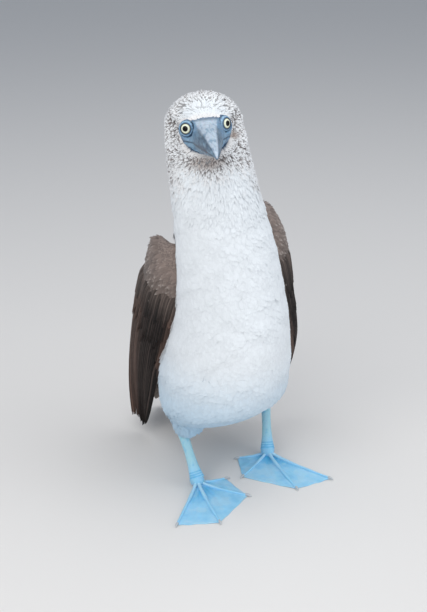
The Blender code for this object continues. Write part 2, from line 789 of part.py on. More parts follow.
def tail_vanes(group):
    """The tail feathers: the middle pair longest and on top, the others shorter, lower and further out."""
    vanes = []
    for rank in range(TAIL_RANKS):
        for side in (-1, 1):
            end = 1.0 - TAIL_SHORTER * rank
            t = np.array(TAIL_VANE_ROWS)
            along = TAIL_VANE_START + (end - TAIL_VANE_START) * t
            place = (rank + 0.5) * side
            middle = place * (TAIL_ROOT_SPREAD + (TAIL_TIP_SPREAD - TAIL_ROOT_SPREAD) * t)
            width = TAIL_HALF_WIDTH * np.interp(t, *np.array(BLADE_OUTLINE).T)
            level = -TAIL_STEP * rank + (TAIL_STEP if rank == 0 and side > 0 else 0.0)
            edges = np.array([-1.0, 1.0])
            aside = middle[:, None] + edges * width[:, None]
            half = vane_thickness(t)[:, None] / 2 + 0 * aside
            grid = np.repeat(along[:, None], 2, axis=1)
            faces = [tail_point(grid, aside, level + half), tail_point(grid, aside, level - half)]
            vanes.append(sheet_solid("vane", faces[0], faces[1], group))
    return vanes


def tube(name, centres, radii, sides, group, flatness=1.0):
    """A round tube along a path, its width given at each point, and flattened from front to back."""
    centres = np.asarray(centres, float)
    ways = unit(np.gradient(centres, axis=0))
    rings = []
    for centre, way, radius in zip(centres, ways, radii):
        side = unit(np.cross(way, np.array([0.0, 1.0, 0.2])))
        depth = np.cross(side, way)
        rings.append(round_ring(centre, side, depth, radius, radius * flatness, radius * flatness, sides))
    return lofted(name, rings, group)


def thigh(side, heel, group):
    """The feathered upper leg, from inside the trunk to the hem above the heel."""
    inwards, ahead, height = THIGH_ROOT
    root = np.array([heel[0] - side * inwards, heel[1] - ahead, height])
    hem = heel
    shares, widths = np.array(THIGH_WIDTH).T
    centres = root + (hem - root) * shares[:, None]
    table = smooth_table(np.column_stack([centres, widths]), 9)
    return tube("thigh", table[:, :3], table[:, 3], 16, group)


def tarsus(ankle, heel, group):
    """The bare shank from the heel joint to the ankle."""
    count = len(TARSUS_RADIUS)
    shares = np.linspace(-TARSUS_SUNK / np.linalg.norm(ankle - heel), 1, count)
    centres = heel + (ankle - heel) * shares[:, None]
    table = smooth_table(np.column_stack([centres, TARSUS_RADIUS]), 10)
    return tube("tarsus", table[:, :3], table[:, 3], 14, group, TARSUS_FLATNESS)


def toe_line(foot, angle, length, shares):
    """Places along a toe's middle line, from the ankle down to the floor and ahead."""
    side = foot["side"]
    # Turns are counted towards the bird's left, and the inner toe of either foot lies towards the other foot.
    heading = math.radians(foot["turn"] - side * angle)
    way = np.array([math.sin(heading), -math.cos(heading), 0.0])
    x, y, z = foot["ankle"]
    shares = np.asarray(shares, float)
    drop = (z - ANKLE_OVER_TOES - TOE_HEIGHT) * np.exp(-shares * TOE_DROP)
    places = np.array([x, y, TOE_HEIGHT]) + way * (shares * length)[:, None]
    places[:, 2] += drop
    return places


def web(foot, group):
    """The web between all four toes: one thin sheet, hollowed along its front edge."""
    shares = np.linspace(0.0, WEB_END, WEB_ROWS + 1)
    lines = [toe_line(foot, angle, length, shares) for _, angle, length, _ in TOES]
    columns = []
    for first, second in zip(lines, lines[1:]):
        for k in range(WEB_COLUMNS):
            t = k / WEB_COLUMNS
            bow = 1 - WEB_HOLLOW * math.sin(math.pi * t) * shares[:, None] ** 2
            origin = first[:1]
            columns.append(origin + ((1 - t) * first + t * second - origin) * bow)
    columns.append(lines[-1])
    grid = np.stack(columns, axis=1)
    sheet = grid.copy()
    sheet[..., 2] = np.maximum(grid[..., 2] - TOE_HEIGHT, 0) * WEB_RISE + WEB_LIFT
    # The toes start together at the ankle, so the first row is spread a little to keep the sheet open there.
    spread = sheet[1] - sheet[0]
    sheet[0] = sheet[0] + spread * WEB_ROOT_SPREAD
    top = sheet + np.array([0, 0, WEB_THICKNESS])
    return sheet_solid("web", top, sheet, group)


def sheet_solid(name, top, bottom, group):
    """A thin closed solid between two grids of points, split into triangles alike on both faces."""
    rows, columns = top.shape[:2]
    mesh = bpy.data.meshes.new(name)
    work = bmesh.new()
    upper = [[work.verts.new(point) for point in row] for row in top]
    lower = [[work.verts.new(point) for point in row] for row in bottom]
    for i in range(rows - 1):
        for j in range(columns - 1):
            for face in (upper, lower):
                work.faces.new((face[i][j], face[i + 1][j], face[i + 1][j + 1]))
                work.faces.new((face[i][j], face[i + 1][j + 1], face[i][j + 1]))
    rim = [(0, j) for j in range(columns)]
    rim += [(i, columns - 1) for i in range(1, rows)]
    rim += [(rows - 1, j) for j in range(columns - 2, -1, -1)]
    rim += [(i, 0) for i in range(rows - 2, 0, -1)]
    for (i, j), (k, m) in zip(rim, rim[1:] + rim[:1]):
        work.faces.new((upper[i][j], upper[k][m], lower[k][m]))
        work.faces.new((upper[i][j], lower[k][m], lower[i][j]))
    bmesh.ops.recalc_face_normals(work, faces=work.faces)
    work.to_mesh(mesh)
    work.free()
    return new_object(name, mesh, group)


def foot_node(foot, group):
    """Toes, claws and web joined, with flats on the floor."""
    body = web(foot, group)
    pieces = []
    for _, angle, length, radius in TOES:
        shares = np.linspace(0.0, 1.0, 7)
        line = toe_line(foot, angle, length, shares)
        knuckles = 1 + KNUCKLE_SWELL * np.cos(shares * math.pi * 6)
        radii = radius * (1 - (1 - TOE_TIP_SHARE) * shares) * knuckles
        pieces.append(tube("toe", line, radii, 7, group))
        tip = line[-1]
        way = unit(line[-1] - line[-3])
        up = np.array([0.0, 0.0, 1.0])
        claw = [tip + way * CLAW_LENGTH * share + up * lift for share, lift, _ in CLAW]
        pieces.append(tube("claw", claw, [width for _, _, width in CLAW], 5, group))
    x, y, _ = foot["ankle"]
    pieces.append(sphere("pad", PAD_RADIUS, (x, y, PAD_HEIGHT), group, 12, 6))
    joined(body, pieces)
    return beyond_plane(body, (0, 0, 0.0), (0, 0, 1))


def leg_nodes(group, finishes, parts, torso, place):
    """Both legs: thigh, shank and foot. Returns the thighs as they lie before the bird is placed."""
    thighs = []
    for name, foot in FEET.items():
        ankle, heel = np.array(foot["ankle"]), np.array(foot["heel"])
        foot_body = foot_node(foot, group)
        shank = tarsus(ankle, heel, group)
        clear_of(shank, foot_body)
        upper = thigh(foot["side"], heel, group)
        clear_of(upper, shank)
        clear_of(upper, torso)
        thighs.append(copy_of(upper))
        finished(foot_body, f"foot_{name}", finishes["blue_skin"], parts, place)
        finished(shank, f"tarsus_{name}", finishes["blue_skin"], parts, place)
        finished(upper, f"thigh_{name}", finishes["white_plumage"], parts, place)
    return thighs


def cut_in_two(thing, cut):
    """Parts an object at a plane, with the usual gap: what lies above it, and what lies below."""
    place, way = Vector(cut[0]), Vector(cut[1]).normalized()
    below = beyond_plane(copy_of(thing), place - way * GAP, -way)
    return beyond_plane(thing, place, way), below


def build():
    """Makes every node of the bird."""
    clear_scene()
    parts = collection("blue_footed_booby")
    bench = collection("bench")
    finishes = materials()
    place = Matrix.Translation(STANCE_SHIFT)
    above, torso = cut_in_two(trunk(bench), NECK_CUT)
    top, neck = cut_in_two(above, HEAD_CUT)
    form = moved(blunt_form("head_form", HEAD, HEAD_STEPS, HEAD_SIDES, bench), head_matrix())
    joined(form, [top])
    clear_of(neck, form)
    moved(form, head_matrix().inverted())
    head_nodes(form, bench, finishes, parts, place @ head_matrix())
    thighs = leg_nodes(bench, finishes, parts, torso, place)
    for side in WING_SPINE:
        wing = joined(wing_core(side, bench), wing_vanes(side, bench))
        for neighbour in (torso, neck, *thighs):
            clear_of(wing, neighbour)
        finished(wing, f"wing_{side}", finishes["brown_plumage"], parts, place)
    tail = joined(tail_core(bench), tail_vanes(bench))
    clear_of(tail, torso)
    finished(tail, "tail", finishes["tail_plumage"], parts, place)
    finished(neck, "neck", finishes["white_plumage"], parts, place)
    finished(torso, "torso", finishes["white_plumage"], parts, place)
    for thing in list(bench.objects) + thighs:
        bpy.data.objects.remove(thing)


build()
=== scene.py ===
"""A blue-footed booby standing upright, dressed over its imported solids.

The bird looks along -Y and stands at z = 0. One skin replaces the solids of head, neck, torso and thighs, and
carries a coat of small mesh feathers. Wings and tail are built from tiers of separate vanes. Bill, bare face,
eyes and feet are surfaces of their own. All lengths are in metres.
"""

import logging
import math
from collections.abc import Callable
from dataclasses import dataclass, field, fields, replace
from enum import Enum

import bpy
import numpy as np
from mathutils import Matrix, Vector


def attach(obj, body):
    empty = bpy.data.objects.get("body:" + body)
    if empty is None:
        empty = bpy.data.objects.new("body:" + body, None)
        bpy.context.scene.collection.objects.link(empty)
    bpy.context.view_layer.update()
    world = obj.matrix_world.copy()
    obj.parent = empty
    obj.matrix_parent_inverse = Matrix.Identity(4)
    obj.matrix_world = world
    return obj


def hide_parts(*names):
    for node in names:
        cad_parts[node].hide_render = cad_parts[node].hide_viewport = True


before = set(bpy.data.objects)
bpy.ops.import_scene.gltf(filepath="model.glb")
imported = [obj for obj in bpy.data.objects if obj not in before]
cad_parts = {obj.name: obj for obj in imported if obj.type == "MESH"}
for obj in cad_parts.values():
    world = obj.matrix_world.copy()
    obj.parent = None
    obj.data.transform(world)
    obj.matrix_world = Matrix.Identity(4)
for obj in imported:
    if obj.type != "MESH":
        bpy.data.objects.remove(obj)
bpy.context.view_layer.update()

LOG = logging.getLogger("booby")
Array = np.ndarray
Draw = np.random.Generator
Piece = bpy.types.Object
Paint = bpy.types.Material
Rows = tuple[tuple[float, ...], ...]
Grids = tuple[Array, ...]
Surface = Callable[..., Array]
Place = tuple[float, float, float]
UP = np.array([0.0, 0.0, 1.0])
AHEAD = np.array([0.0, -1.0, 0.0])
ASIDE = np.array([1.0, 0.0, 0.0])
NO_TRIS = np.zeros((0, 3), int)


class Slot(Enum):
    """Names of finishes."""

    WHITE = "white_plumage"
    STREAKED = "streaked_plumage"
    BROWN = "brown_plumage"
    TAIL = "tail_plumage"
    FACE = "bare_face"
    BILL = "bill_horn"
    FEET = "blue_skin"
    EYE = "eye"


class Side(Enum):
    """The bird's own sides, with the sign of their x."""

    RIGHT = -1
    LEFT = 1

    @property
    def word(self) -> str:
        """The side's name as the solids use it."""
        return self.name.lower()


# Numbers and curves


def smooth(values: Array, low: float, high: float) -> Array:
    """Rises from 0 at low to 1 at high along 3t^2 - 2t^3.

    Args:
        values: Numbers of any shape.
        low: Where the rise begins.
        high: Where it ends; it may lie below low.

    Returns:
        The risen values, of the same shape.
    """
    t = np.clip((np.asarray(values, float) - low) / (high - low), 0.0, 1.0)
    return t * t * (3.0 - 2.0 * t)


def turns(count: int) -> Array:
    """Angles evenly round a full turn, from 0."""
    return np.linspace(0, 2 * math.pi, count, endpoint=False)


def hump(values: Array, middle: float, width: float) -> Array:
    """Rises to 1 at the middle and falls off on both sides as e^-((value - middle) / width)^2."""
    return np.exp(-(((values - middle) / width) ** 2))


def unit(vectors: Array) -> Array:
    """Vectors of length one along the last axis."""
    return vectors / np.maximum(np.linalg.norm(vectors, axis=-1, keepdims=True), 1e-12)


def carried(points: Array, matrix: Array) -> Array:
    """Points put through a 4 x 4 matrix."""
    return points @ matrix[:3, :3].T + matrix[:3, 3]


def one_in_each(points: Array, spacing: float) -> Array:
    """Thins points out to the first in each cube of a grid.

    Args:
        points: n x 3 places.
        spacing: The cubes' edge.

    Returns:
        The numbers of the points that stay.
    """
    x, y, z = np.floor(points / spacing).astype(np.int64).T
    most = 4096
    return np.unique((x * most + y) * most + z, return_index=True)[1]


def read_curve(knots: Array, rows: Array, at: Array) -> Array:
    """Reads a cubic curve through rows of numbers, one that never overshoots between them.

    The slope at a knot is the harmonic mean of its two rises where they agree in sign, and 0 elsewhere.
    Between knots the value is a(2t^3-3t^2+1) + m(t^3-2t^2+t) + b(3t^2-2t^3) + n(t^3-t^2).

    Args:
        knots: Where the rows stand, k increasing numbers.
        rows: k rows of numbers.
        at: Places to read, of any number.

    Returns:
        One row for each place.
    """
    rows = np.asarray(rows, float)
    gaps = np.diff(knots)[:, None]
    rises = np.diff(rows, axis=0) / gaps
    slopes = np.zeros_like(rows)
    same = rises[:-1] * rises[1:] > 0
    total = np.where(same, rises[:-1] + rises[1:], 1.0)
    slopes[1:-1] = np.where(same, 2 * rises[:-1] * rises[1:] / total, 0.0)
    slopes[0], slopes[-1] = rises[0], rises[-1]
    at = np.asarray(at, float)
    i = np.clip(np.searchsorted(knots, at, side="right") - 1, 0, len(gaps) - 1)
    t = ((at - np.asarray(knots)[i]) / gaps[i, 0])[:, None]
    a, b, m, n = rows[i], rows[i + 1], slopes[i] * gaps[i], slopes[i + 1] * gaps[i]
    start = a * (2 * t**3 - 3 * t**2 + 1) + m * (t**3 - 2 * t**2 + t)
    return start + b * (3 * t**2 - 2 * t**3) + n * (t**3 - t**2)


def resample(rows: Rows, count: int) -> Array:
    """Reads a table at even steps of its row number.

    Args:
        rows: The table.
        count: How many rows to return.

    Returns:
        count rows on the smooth curve through the table.
    """
    knots = np.arange(len(rows), dtype=float)
    return read_curve(knots, rows, np.linspace(0, len(rows) - 1, count))


def rgb(red: float, green: float, blue: float) -> Array:
    """A screen colour, 0 to 255, as linear light, 0 to 1: ((c + 0.055) / 1.055) ^ 2.4 above the dark end."""
    c = np.array([red, green, blue]) / 255.0
    return np.where(c <= 0.04045, c / 12.92, ((c + 0.055) / 1.055) ** 2.4)


def blend(a: Array, b: Array, share: Array) -> Array:
    """Mixes two colours, a where the share is 0 and b where it is 1.

    Args:
        a: Colour or colours, three numbers along the last axis.
        b: The same.
        share: Numbers of the wanted shape, without the last axis.

    Returns:
        The mixed colours.
    """
    share = np.asarray(share, float)[..., None]
    return a * (1 - share) + b * share


def mottle(points: Array, size: float | Place, seed: int) -> Array:
    """Soft irregular patches: random values on a lattice, read between its corners along 3t^2 - 2t^3.

    Args:
        points: n x 3 places.
        size: Width of a patch, or its three widths.
        seed: Which patches.

    Returns:
        n values of about -1 to 1, two sizes of patch added up.
    """
    table = np.random.default_rng(seed).uniform(-1, 1, (32, 32, 32))
    total = np.zeros(len(points))
    for factor, weight in ((1.0, 1.0), (2.3, 0.5)):
        place = points / np.asarray(size) * factor + 7.0
        cell = np.floor(place).astype(np.int64)
        t = place - cell
        t = t * t * (3 - 2 * t)
        for corner in np.ndindex(2, 2, 2):
            share = np.prod(np.where(np.array(corner) == 1, t, 1 - t), axis=1)
            i, j, k = ((cell + np.array(corner)) % 32).T
            total += weight * share * table[i, j, k]
    return total * 1.3


# Meshes


@dataclass
class Shell:
    """Points and faces under construction, with a colour and a flat place for each point."""

    points: Array
    quads: Array
    tris: Array
    colours: Array | None = None
    places: Array | None = None
    lies: Array | None = None

    def moved(self, matrix: Array) -> "Shell":
        """The same shell with its points put through a 4 x 4 matrix."""
        return replace(self, points=carried(self.points, matrix))

    def painted(self, colours: Array) -> "Shell":
        """The same shell with one colour for all points, or one for each."""
        return replace(self, colours=np.broadcast_to(colours, self.points.shape).copy())

    def laid(self) -> "Shell":
        """The same shell with empty flat places and lies."""
        count = len(self.points)
        return replace(self, places=np.zeros((count, 2)), lies=np.zeros((count, 3)))


def gathered(shells: list[Shell]) -> Shell:
    """Puts several shells into one, their faces renumbered.

    Args:
        shells: Shells that all have colours, or all have none, and the same for places.

    Returns:
        One shell of all their points and faces.
    """
    starts = np.cumsum([0] + [len(shell.points) for shell in shells[:-1]])

    def together(name: str) -> Array | None:
        """The values of one field of all shells, or none where they have none."""
        parts = [getattr(shell, name) for shell in shells]
        return None if parts[0] is None else np.concatenate(parts)

    return Shell(
        together("points"),
        np.concatenate([shell.quads + start for shell, start in zip(shells, starts)]),
        np.concatenate([shell.tris + start for shell, start in zip(shells, starts)]),
        together("colours"),
        together("places"),
        together("lies"),
    )


def ring_faces(count: int, sides: int) -> Array:
    """Faces between rings: face (i, j) joins points j and j + 1 of rings i and i + 1, j counted round.

    Args:
        count: How many rings.
        sides: Points in a ring.

    Returns:
        (count - 1) sides x 4 numbers of points.
    """
    i, j = np.meshgrid(np.arange(count - 1), np.arange(sides), indexing="ij")
    k = (j + 1) % sides
    faces = np.stack([i * sides + j, i * sides + k, (i + 1) * sides + k, (i + 1) * sides + j], axis=-1)
    return faces.reshape(-1, 4)


def loft(rings: Array) -> Shell:
    """Closes n rings of m points into a skin, each end drawn to its own middle point.

    Args:
        rings: n x m x 3 points, all turning the same way.

    Returns:
        A closed shell.
    """
    count, sides = rings.shape[:2]
    around = np.arange(sides)
    after = (around + 1) % sides
    first, last = count * sides, count * sides + 1
    start_fan = np.stack([after, around, np.full(sides, first)], axis=-1)
    end_fan = np.stack([around, after, np.full(sides, last)], axis=-1)
    end_fan[:, :2] += (count - 1) * sides
    points = np.concatenate([rings.reshape(-1, 3), [rings[0].mean(axis=0)], [rings[-1].mean(axis=0)]])
    return outward(Shell(points, ring_faces(count, sides), np.concatenate([start_fan, end_fan])))


def revolved(far: Array, high: Array, sides: int) -> Array:
    """Rings about Z: (far cos a, far sin a, high) at the turn a."""
    turn = turns(sides)
    return np.stack([far * np.cos(turn), far * np.sin(turn), high + 0 * turn], axis=-1)


def ball(radius: float, count: int, sides: int, gap: float) -> Shell:
    """A ball about the origin.

    Args:
        radius: Its radius.
        count: How many rings, square to Z.
        sides: Points in a ring.
        gap: Angle between a pole and the ring next to it.

    Returns:
        A closed shell.
    """
    angle = np.linspace(gap, math.pi - gap, count)[:, None]
    return loft(revolved(np.sin(angle) * radius, np.cos(angle) * radius, sides))


def outward(shell: Shell) -> Shell:
    """Turns a closed shell's faces outwards, by the sign of the room it takes in.

    Args:
        shell: A closed shell whose faces all turn the same way.

    Returns:
        The shell, its faces reversed where the sum of a . (b x c) over its triangles is negative.
    """
    p, q, t = shell.points - shell.points.mean(axis=0), shell.quads, shell.tris
    a, b, c = (p[ends] for ends in np.concatenate([q[:, :3], q[:, [0, 2, 3]], t]).T)
    if np.einsum("ij,ij->", a, np.cross(b, c)) < 0:
        return replace(shell, quads=q[:, ::-1], tris=t[:, ::-1])
    return shell


def turned_out(shell: Shell, first: Shell) -> Shell:
    """Turns the faces of many like feathers outwards, all as the first one needs.

    Args:
        shell: All feathers.
        first: The first of them alone.

    Returns:
        The shell, its faces reversed or not.
    """
    if np.array_equal(outward(first).quads, first.quads):
        return shell
    return replace(shell, quads=shell.quads[:, ::-1], tris=shell.tris[:, ::-1])


def vanes(top: Array, bottom: Array, colours: Array, places: Array, lies: Array) -> Shell:
    """Closes many thin sheets at once: each an upper and a lower grid of points with a rim between them.

    Args:
        top: n x r x c x 3 points of the upper faces.
        bottom: The same for the lower faces.
        colours: n x r x c x 3 colours, used on both faces.
        places: n x r x c x 2 flat places, used on both faces.
        lies: n x r x c x 3, how far across and along its sheet each point lies, used on both faces.

    Returns:
        One shell of n closed sheets.
    """
    count, rows, columns = top.shape[:3]
    size = rows * columns
    grid = np.arange(size).reshape(rows, columns)
    face = np.stack([grid[:-1, :-1], grid[:-1, 1:], grid[1:, 1:], grid[1:, :-1]], axis=-1).reshape(-1, 4)
    rim = np.concatenate([grid[0], grid[1:, -1], grid[-1, -2::-1], grid[-2:0:-1, 0]])
    after = np.roll(rim, -1)
    wall = np.stack([rim, rim + size, after + size, after], axis=-1)
    one = np.concatenate([face, face[:, ::-1] + size, wall])
    quads = (np.arange(count)[:, None, None] * 2 * size + one).reshape(-1, 4)
    points = np.stack([top, bottom], axis=1).reshape(-1, 3)
    both = (np.stack([each, each], axis=1).reshape(-1, each.shape[-1]) for each in (colours, places, lies))
    shell = Shell(points, quads, NO_TRIS, *both)
    return turned_out(shell, Shell(points[: 2 * size], one, NO_TRIS))


def quills(points: tuple[Array, Array], colours: tuple[Array, Array], places: tuple[Array, Array]) -> Shell:
    """Closes many small pointed feathers at once: each a few rings of points, drawn to a tip.

    Args:
        points: n x r x m x 3 points, from the root on, and n x 3 for the tips.
        colours: The same for the colours.
        places: n x r x m x 2 flat places, and n x 2 for the tips.

    Returns:
        One shell of n closed feathers.
    """
    count, rows, sides = points[0].shape[:3]
    size = rows * sides + 1
    face = ring_faces(rows, sides)
    around = np.arange(sides)
    last = (rows - 1) * sides
    point = np.stack([last + around, last + (around + 1) % sides, np.full(sides, size - 1)], axis=-1)
    root = np.stack([np.zeros(sides - 2, int), around[2:], around[1:-1]], axis=-1)
    starts = np.arange(count)[:, None, None] * size
    ends = np.concatenate([point, root])
    quads, tris = (face + starts).reshape(-1, 4), (ends + starts).reshape(-1, 3)

    def joined(body: Array, tips: Array) -> Array:
        """Each feather's rings with its tip after them, in rows."""
        width = body.shape[-1]
        return np.concatenate([body.reshape(count, -1, width), tips[:, None]], axis=1).reshape(-1, width)

    shell = Shell(joined(*points), quads, tris, joined(*colours), joined(*places))
    return turned_out(shell, Shell(shell.points[:size], face, ends))


def paint(mesh: bpy.types.Mesh, colours: Array) -> None:
    """Puts one colour for each point into the mesh's paint attribute."""
    full = np.concatenate([colours, np.ones((len(colours), 1))], axis=1).astype(np.float32)
    mesh.attributes.new("paint", "FLOAT_COLOR", "POINT").data.foreach_set("color", full.ravel())


def make_piece(name: str, shell: Shell, sharp_degrees: float | None = None) -> Piece:
    """Puts a shell into an object at the origin, with its colours and flat places.

    Args:
        name: The piece's name.
        shell: What it is made of.
        sharp_degrees: Edges sharper than this aren't smoothed over.

    Returns:
        The new object, linked to the scene.
    """
    mesh = bpy.data.meshes.new(name)
    mesh.vertices.add(len(shell.points))
    mesh.vertices.foreach_set("co", np.ascontiguousarray(shell.points, dtype=np.float32).ravel())
    corners = np.concatenate([shell.quads.ravel(), shell.tris.ravel()]).astype(np.int32)
    totals = np.concatenate([np.full(len(shell.quads), 4), np.full(len(shell.tris), 3)])
    mesh.loops.add(len(corners))
    mesh.loops.foreach_set("vertex_index", corners)
    mesh.polygons.add(len(totals))
    mesh.polygons.foreach_set("loop_start", np.concatenate([[0], np.cumsum(totals)[:-1]]).astype(np.int32))
    if shell.colours is not None:
        paint(mesh, shell.colours)
    if shell.lies is not None:
        layer = mesh.attributes.new("lie", "FLOAT_VECTOR", "POINT")
        layer.data.foreach_set("vector", shell.lies.astype(np.float32).ravel())
    if shell.places is not None:
        layer = mesh.uv_layers.new(name="OFBake")
        layer.data.foreach_set("uv", shell.places[corners].astype(np.float32).ravel())
    mesh.update(calc_edges=True)
    mesh.shade_smooth()
    if sharp_degrees is not None:
        mesh.set_sharp_from_angle(angle=math.radians(sharp_degrees))
    piece = bpy.data.objects.new(name, mesh)
    bpy.context.scene.collection.objects.link(piece)
    return piece


def fetched(items: bpy.types.bpy_prop_collection, name: str, width: int, kind: type) -> Array:
    """Reads a property of all of a mesh's items.

    Args:
        items: Such as its points or its edges.
        name: The property's name.
        width: How many numbers an item has.
        kind: Their type, single precision or whole.

    Returns:
        One row for each item.
    """
    flat = np.empty(len(items) * width, kind)
    items.foreach_get(name, flat)
    return flat.reshape(-1, width)


def read_mesh(piece: Piece) -> tuple[Array, Array]:
    """A mesh's points and their normals."""
    points = fetched(piece.data.vertices, "co", 3, np.float32)
    return points.astype(float), fetched(piece.data.vertex_normals, "vector", 3, np.float32).astype(float)


def evened(values: Array, edges: tuple[Array, Array], rounds: int) -> Array:
    """Evens values out over a mesh: each point takes the mean of itself and its neighbours.

    Args:
        values: One number or row for each point.
        edges: Numbers of the points at both ends of each edge.
        rounds: How many times.

    Returns:
        The evened values.
    """
    count = np.bincount(np.concatenate(edges), minlength=len(values)) + 1.0
    for _ in range(rounds):
        around = values.copy()
        for here, there in (edges, edges[::-1]):
            np.add.at(around, here, values[there])
        values = (around.T / count).T
    return values


def baked(piece: Piece) -> Piece:
    """Applies an object's modifiers to its mesh.

    Args:
        piece: The object.

    Returns:
        The same object, its modifiers gone.
    """
    graph = bpy.context.evaluated_depsgraph_get()
    mesh = bpy.data.meshes.new_from_object(piece.evaluated_get(graph))
    piece.modifiers.clear()
    piece.data = mesh
    return piece


def finish_piece(piece: Piece, material: Paint, nodes: tuple[str, ...] = ()) -> None:
    """Gives a piece its material and body, and hides the solids that it stands for.

    Args:
        piece: The piece.
        material: Its only material.
        nodes: Names of the solids that it replaces.
    """
    piece.data.materials.clear()
    piece.data.materials.append(material)
    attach(piece, "root")
    if nodes:
        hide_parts(*nodes)
    piece.data.calc_loop_triangles()
    LOG.info("%s: %d triangles", piece.name, len(piece.data.loop_triangles))


# Shading


@dataclass
class Wire:
    """A socket's value, written into expressions; each operator adds its node."""

    net: "Net"
    socket: bpy.types.NodeSocket

    def __add__(self, other: "Wire | float") -> "Wire":
        """Sum."""
        return self.net.maths("ADD", self, other)

    __radd__ = __add__

    def __mul__(self, other: "Wire | float") -> "Wire":
        """Product."""
        return self.net.maths("MULTIPLY", self, other)

    __rmul__ = __mul__

    def __sub__(self, other: "Wire | float") -> "Wire":
        """Difference."""
        return self.net.maths("SUBTRACT", self, other)

    def __rsub__(self, other: float) -> "Wire":
        """Difference, the other way round."""
        return self.net.maths("SUBTRACT", other, self)

    def __abs__(self) -> "Wire":
        """Size without its sign."""
        return self.net.maths("ABSOLUTE", self)


class Net:
    """The nodes of one material."""

    def __init__(self, name: str, **constants: object) -> None:
        """Starts a material with constant values on its Principled shader.

        Args:
            name: The material's name.
            constants: Socket names with underscores for spaces, and their values.
        """
        self.material = bpy.data.materials.new(name)
        self.material.use_nodes = True
        self.tree = self.material.node_tree
        self.shader = self.tree.nodes["Principled BSDF"]
        for key, value in constants.items():
            self.shader.inputs[key.replace("_", " ")].default_value = value

    def node(
        self, kind: str, settings: dict | None = None, inputs: dict | None = None, output: int | str = 0
    ) -> Wire:
        """Adds any node.

        Args:
            kind: The node's type.
            settings: Its properties, set first.
            inputs: Values or wires for its sockets, by name or number.
            output: Which of its outputs to return.

        Returns:
            The chosen output.
        """
        made = self.tree.nodes.new(kind)
        for key, value in (settings or {}).items():
            setattr(made, key, value)
        for key, value in (inputs or {}).items():
            if isinstance(value, Wire):
                self.tree.links.new(value.socket, made.inputs[key])
            else:
                made.inputs[key].default_value = value
        return Wire(self, made.outputs[output])

    def maths(self, operation: str, *values: Wire | float) -> Wire:
        """Adds a Math node on numbers."""
        return self.node("ShaderNodeMath", {"operation": operation}, dict(enumerate(values)))

    def mixed(self, mode: str, share: Wire | float, a: Wire | tuple, b: Wire | tuple) -> Wire:
        """Adds a colour mix.

        Args:
            mode: How the second colour goes on the first, such as MIX or MULTIPLY.
            share: How much of it.
            a: The first colour.
            b: The second colour.

        Returns:
            The mixed colour.
        """
        settings = {"data_type": "RGBA", "blend_type": mode}
        return self.node("ShaderNodeMix", settings, {0: share, 6: a, 7: b}, 2)

    def feed(self, socket: str, wire: Wire) -> None:
        """Links a wire to one of the shader's sockets."""
        self.tree.links.new(wire.socket, self.shader.inputs[socket])


class Relief(Enum):
    """What the small relief on a surface is."""

    GRAIN = "fine grain"
    SCALES = "small flat scales"
    BARBS = "barbs of a feather"
    STREAKS = "fine lines along the bill"


@dataclass(frozen=True)
class Finish:
    """A painted surface: its colour is the paint attribute, varied in soft patches, with a small relief."""

    name: str
    roughness: float
    relief: Relief
    relief_size: float
    relief_height: float
    patch_size: float
    patch_depth: float
    sheen: float = 0.0
    coat: float = 0.0
    softness: float = 0.0
    specular: float = 0.5

    def material(self) -> Paint:
        """Builds the material.

        Returns:
            The material, new.
        """
        net = Net(
            self.name,
            Sheen_Weight=self.sheen,
            Coat_Weight=self.coat,
            Coat_Roughness=0.03,
            Subsurface_Weight=self.softness,
            Subsurface_Scale=0.004,
            Specular_IOR_Level=self.specular,
        )
        place = net.node("ShaderNodeTexCoord", output="Object")
        paint = net.node("ShaderNodeAttribute", {"attribute_name": "paint"}, output="Color")
        spread = (1.0, 0.25, 1.0) if self.relief is Relief.STREAKS else (1.0, 1.0, 1.0)
        drawn = net.node("ShaderNodeMapping", inputs={"Vector": place, "Scale": spread})
        noise = {"Vector": drawn, "Scale": 1 / self.patch_size, "Detail": 3.0}
        patches = net.node("ShaderNodeTexNoise", inputs=noise)
        shade = 1.0 - self.patch_depth * patches
        dimmed = net.node("ShaderNodeCombineColor", inputs={0: shade, 1: shade, 2: shade})
        net.feed("Base Color", net.mixed("MULTIPLY", 1.0, paint, dimmed))
        net.feed("Roughness", self.roughness - 0.1 + 0.2 * patches)
        bump = {"Height": self.height(net, place), "Strength": 1.0, "Distance": self.relief_height}
        net.feed("Normal", net.node("ShaderNodeBump", inputs=bump))
        return net.material

    def height(self, net: Net, place: Wire) -> Wire:
        """Adds the relief's nodes.

        Args:
            net: The material's nodes.
            place: The object's own coordinates.

        Returns:
            The relief, from 0 to about 1.
        """
        if self.relief is Relief.SCALES:
            cells = {"Vector": place, "Scale": 1 / self.relief_size}
            edge = net.node("ShaderNodeTexVoronoi", {"feature": "DISTANCE_TO_EDGE"}, cells)
            return net.maths("MINIMUM", edge * 6.0, 1.0)
        if self.relief is Relief.BARBS:
            lie = net.node("ShaderNodeAttribute", {"attribute_name": "lie"}, output="Vector")
            across, along = (net.node("ShaderNodeSeparateXYZ", None, {0: lie}, axis) for axis in (0, 1))
            sweep = along - abs(across) * 1.4
            return net.maths("SINE", sweep * (2 * math.pi / self.relief_size)) * 0.5 + 0.5
        if self.relief is Relief.STREAKS:
            place = net.node("ShaderNodeMapping", inputs={"Vector": place, "Scale": (1.0, 0.08, 1.0)})
        noise = {"Vector": place, "Scale": 1 / self.relief_size, "Detail": 4.0}
        return net.node("ShaderNodeTexNoise", inputs=noise)


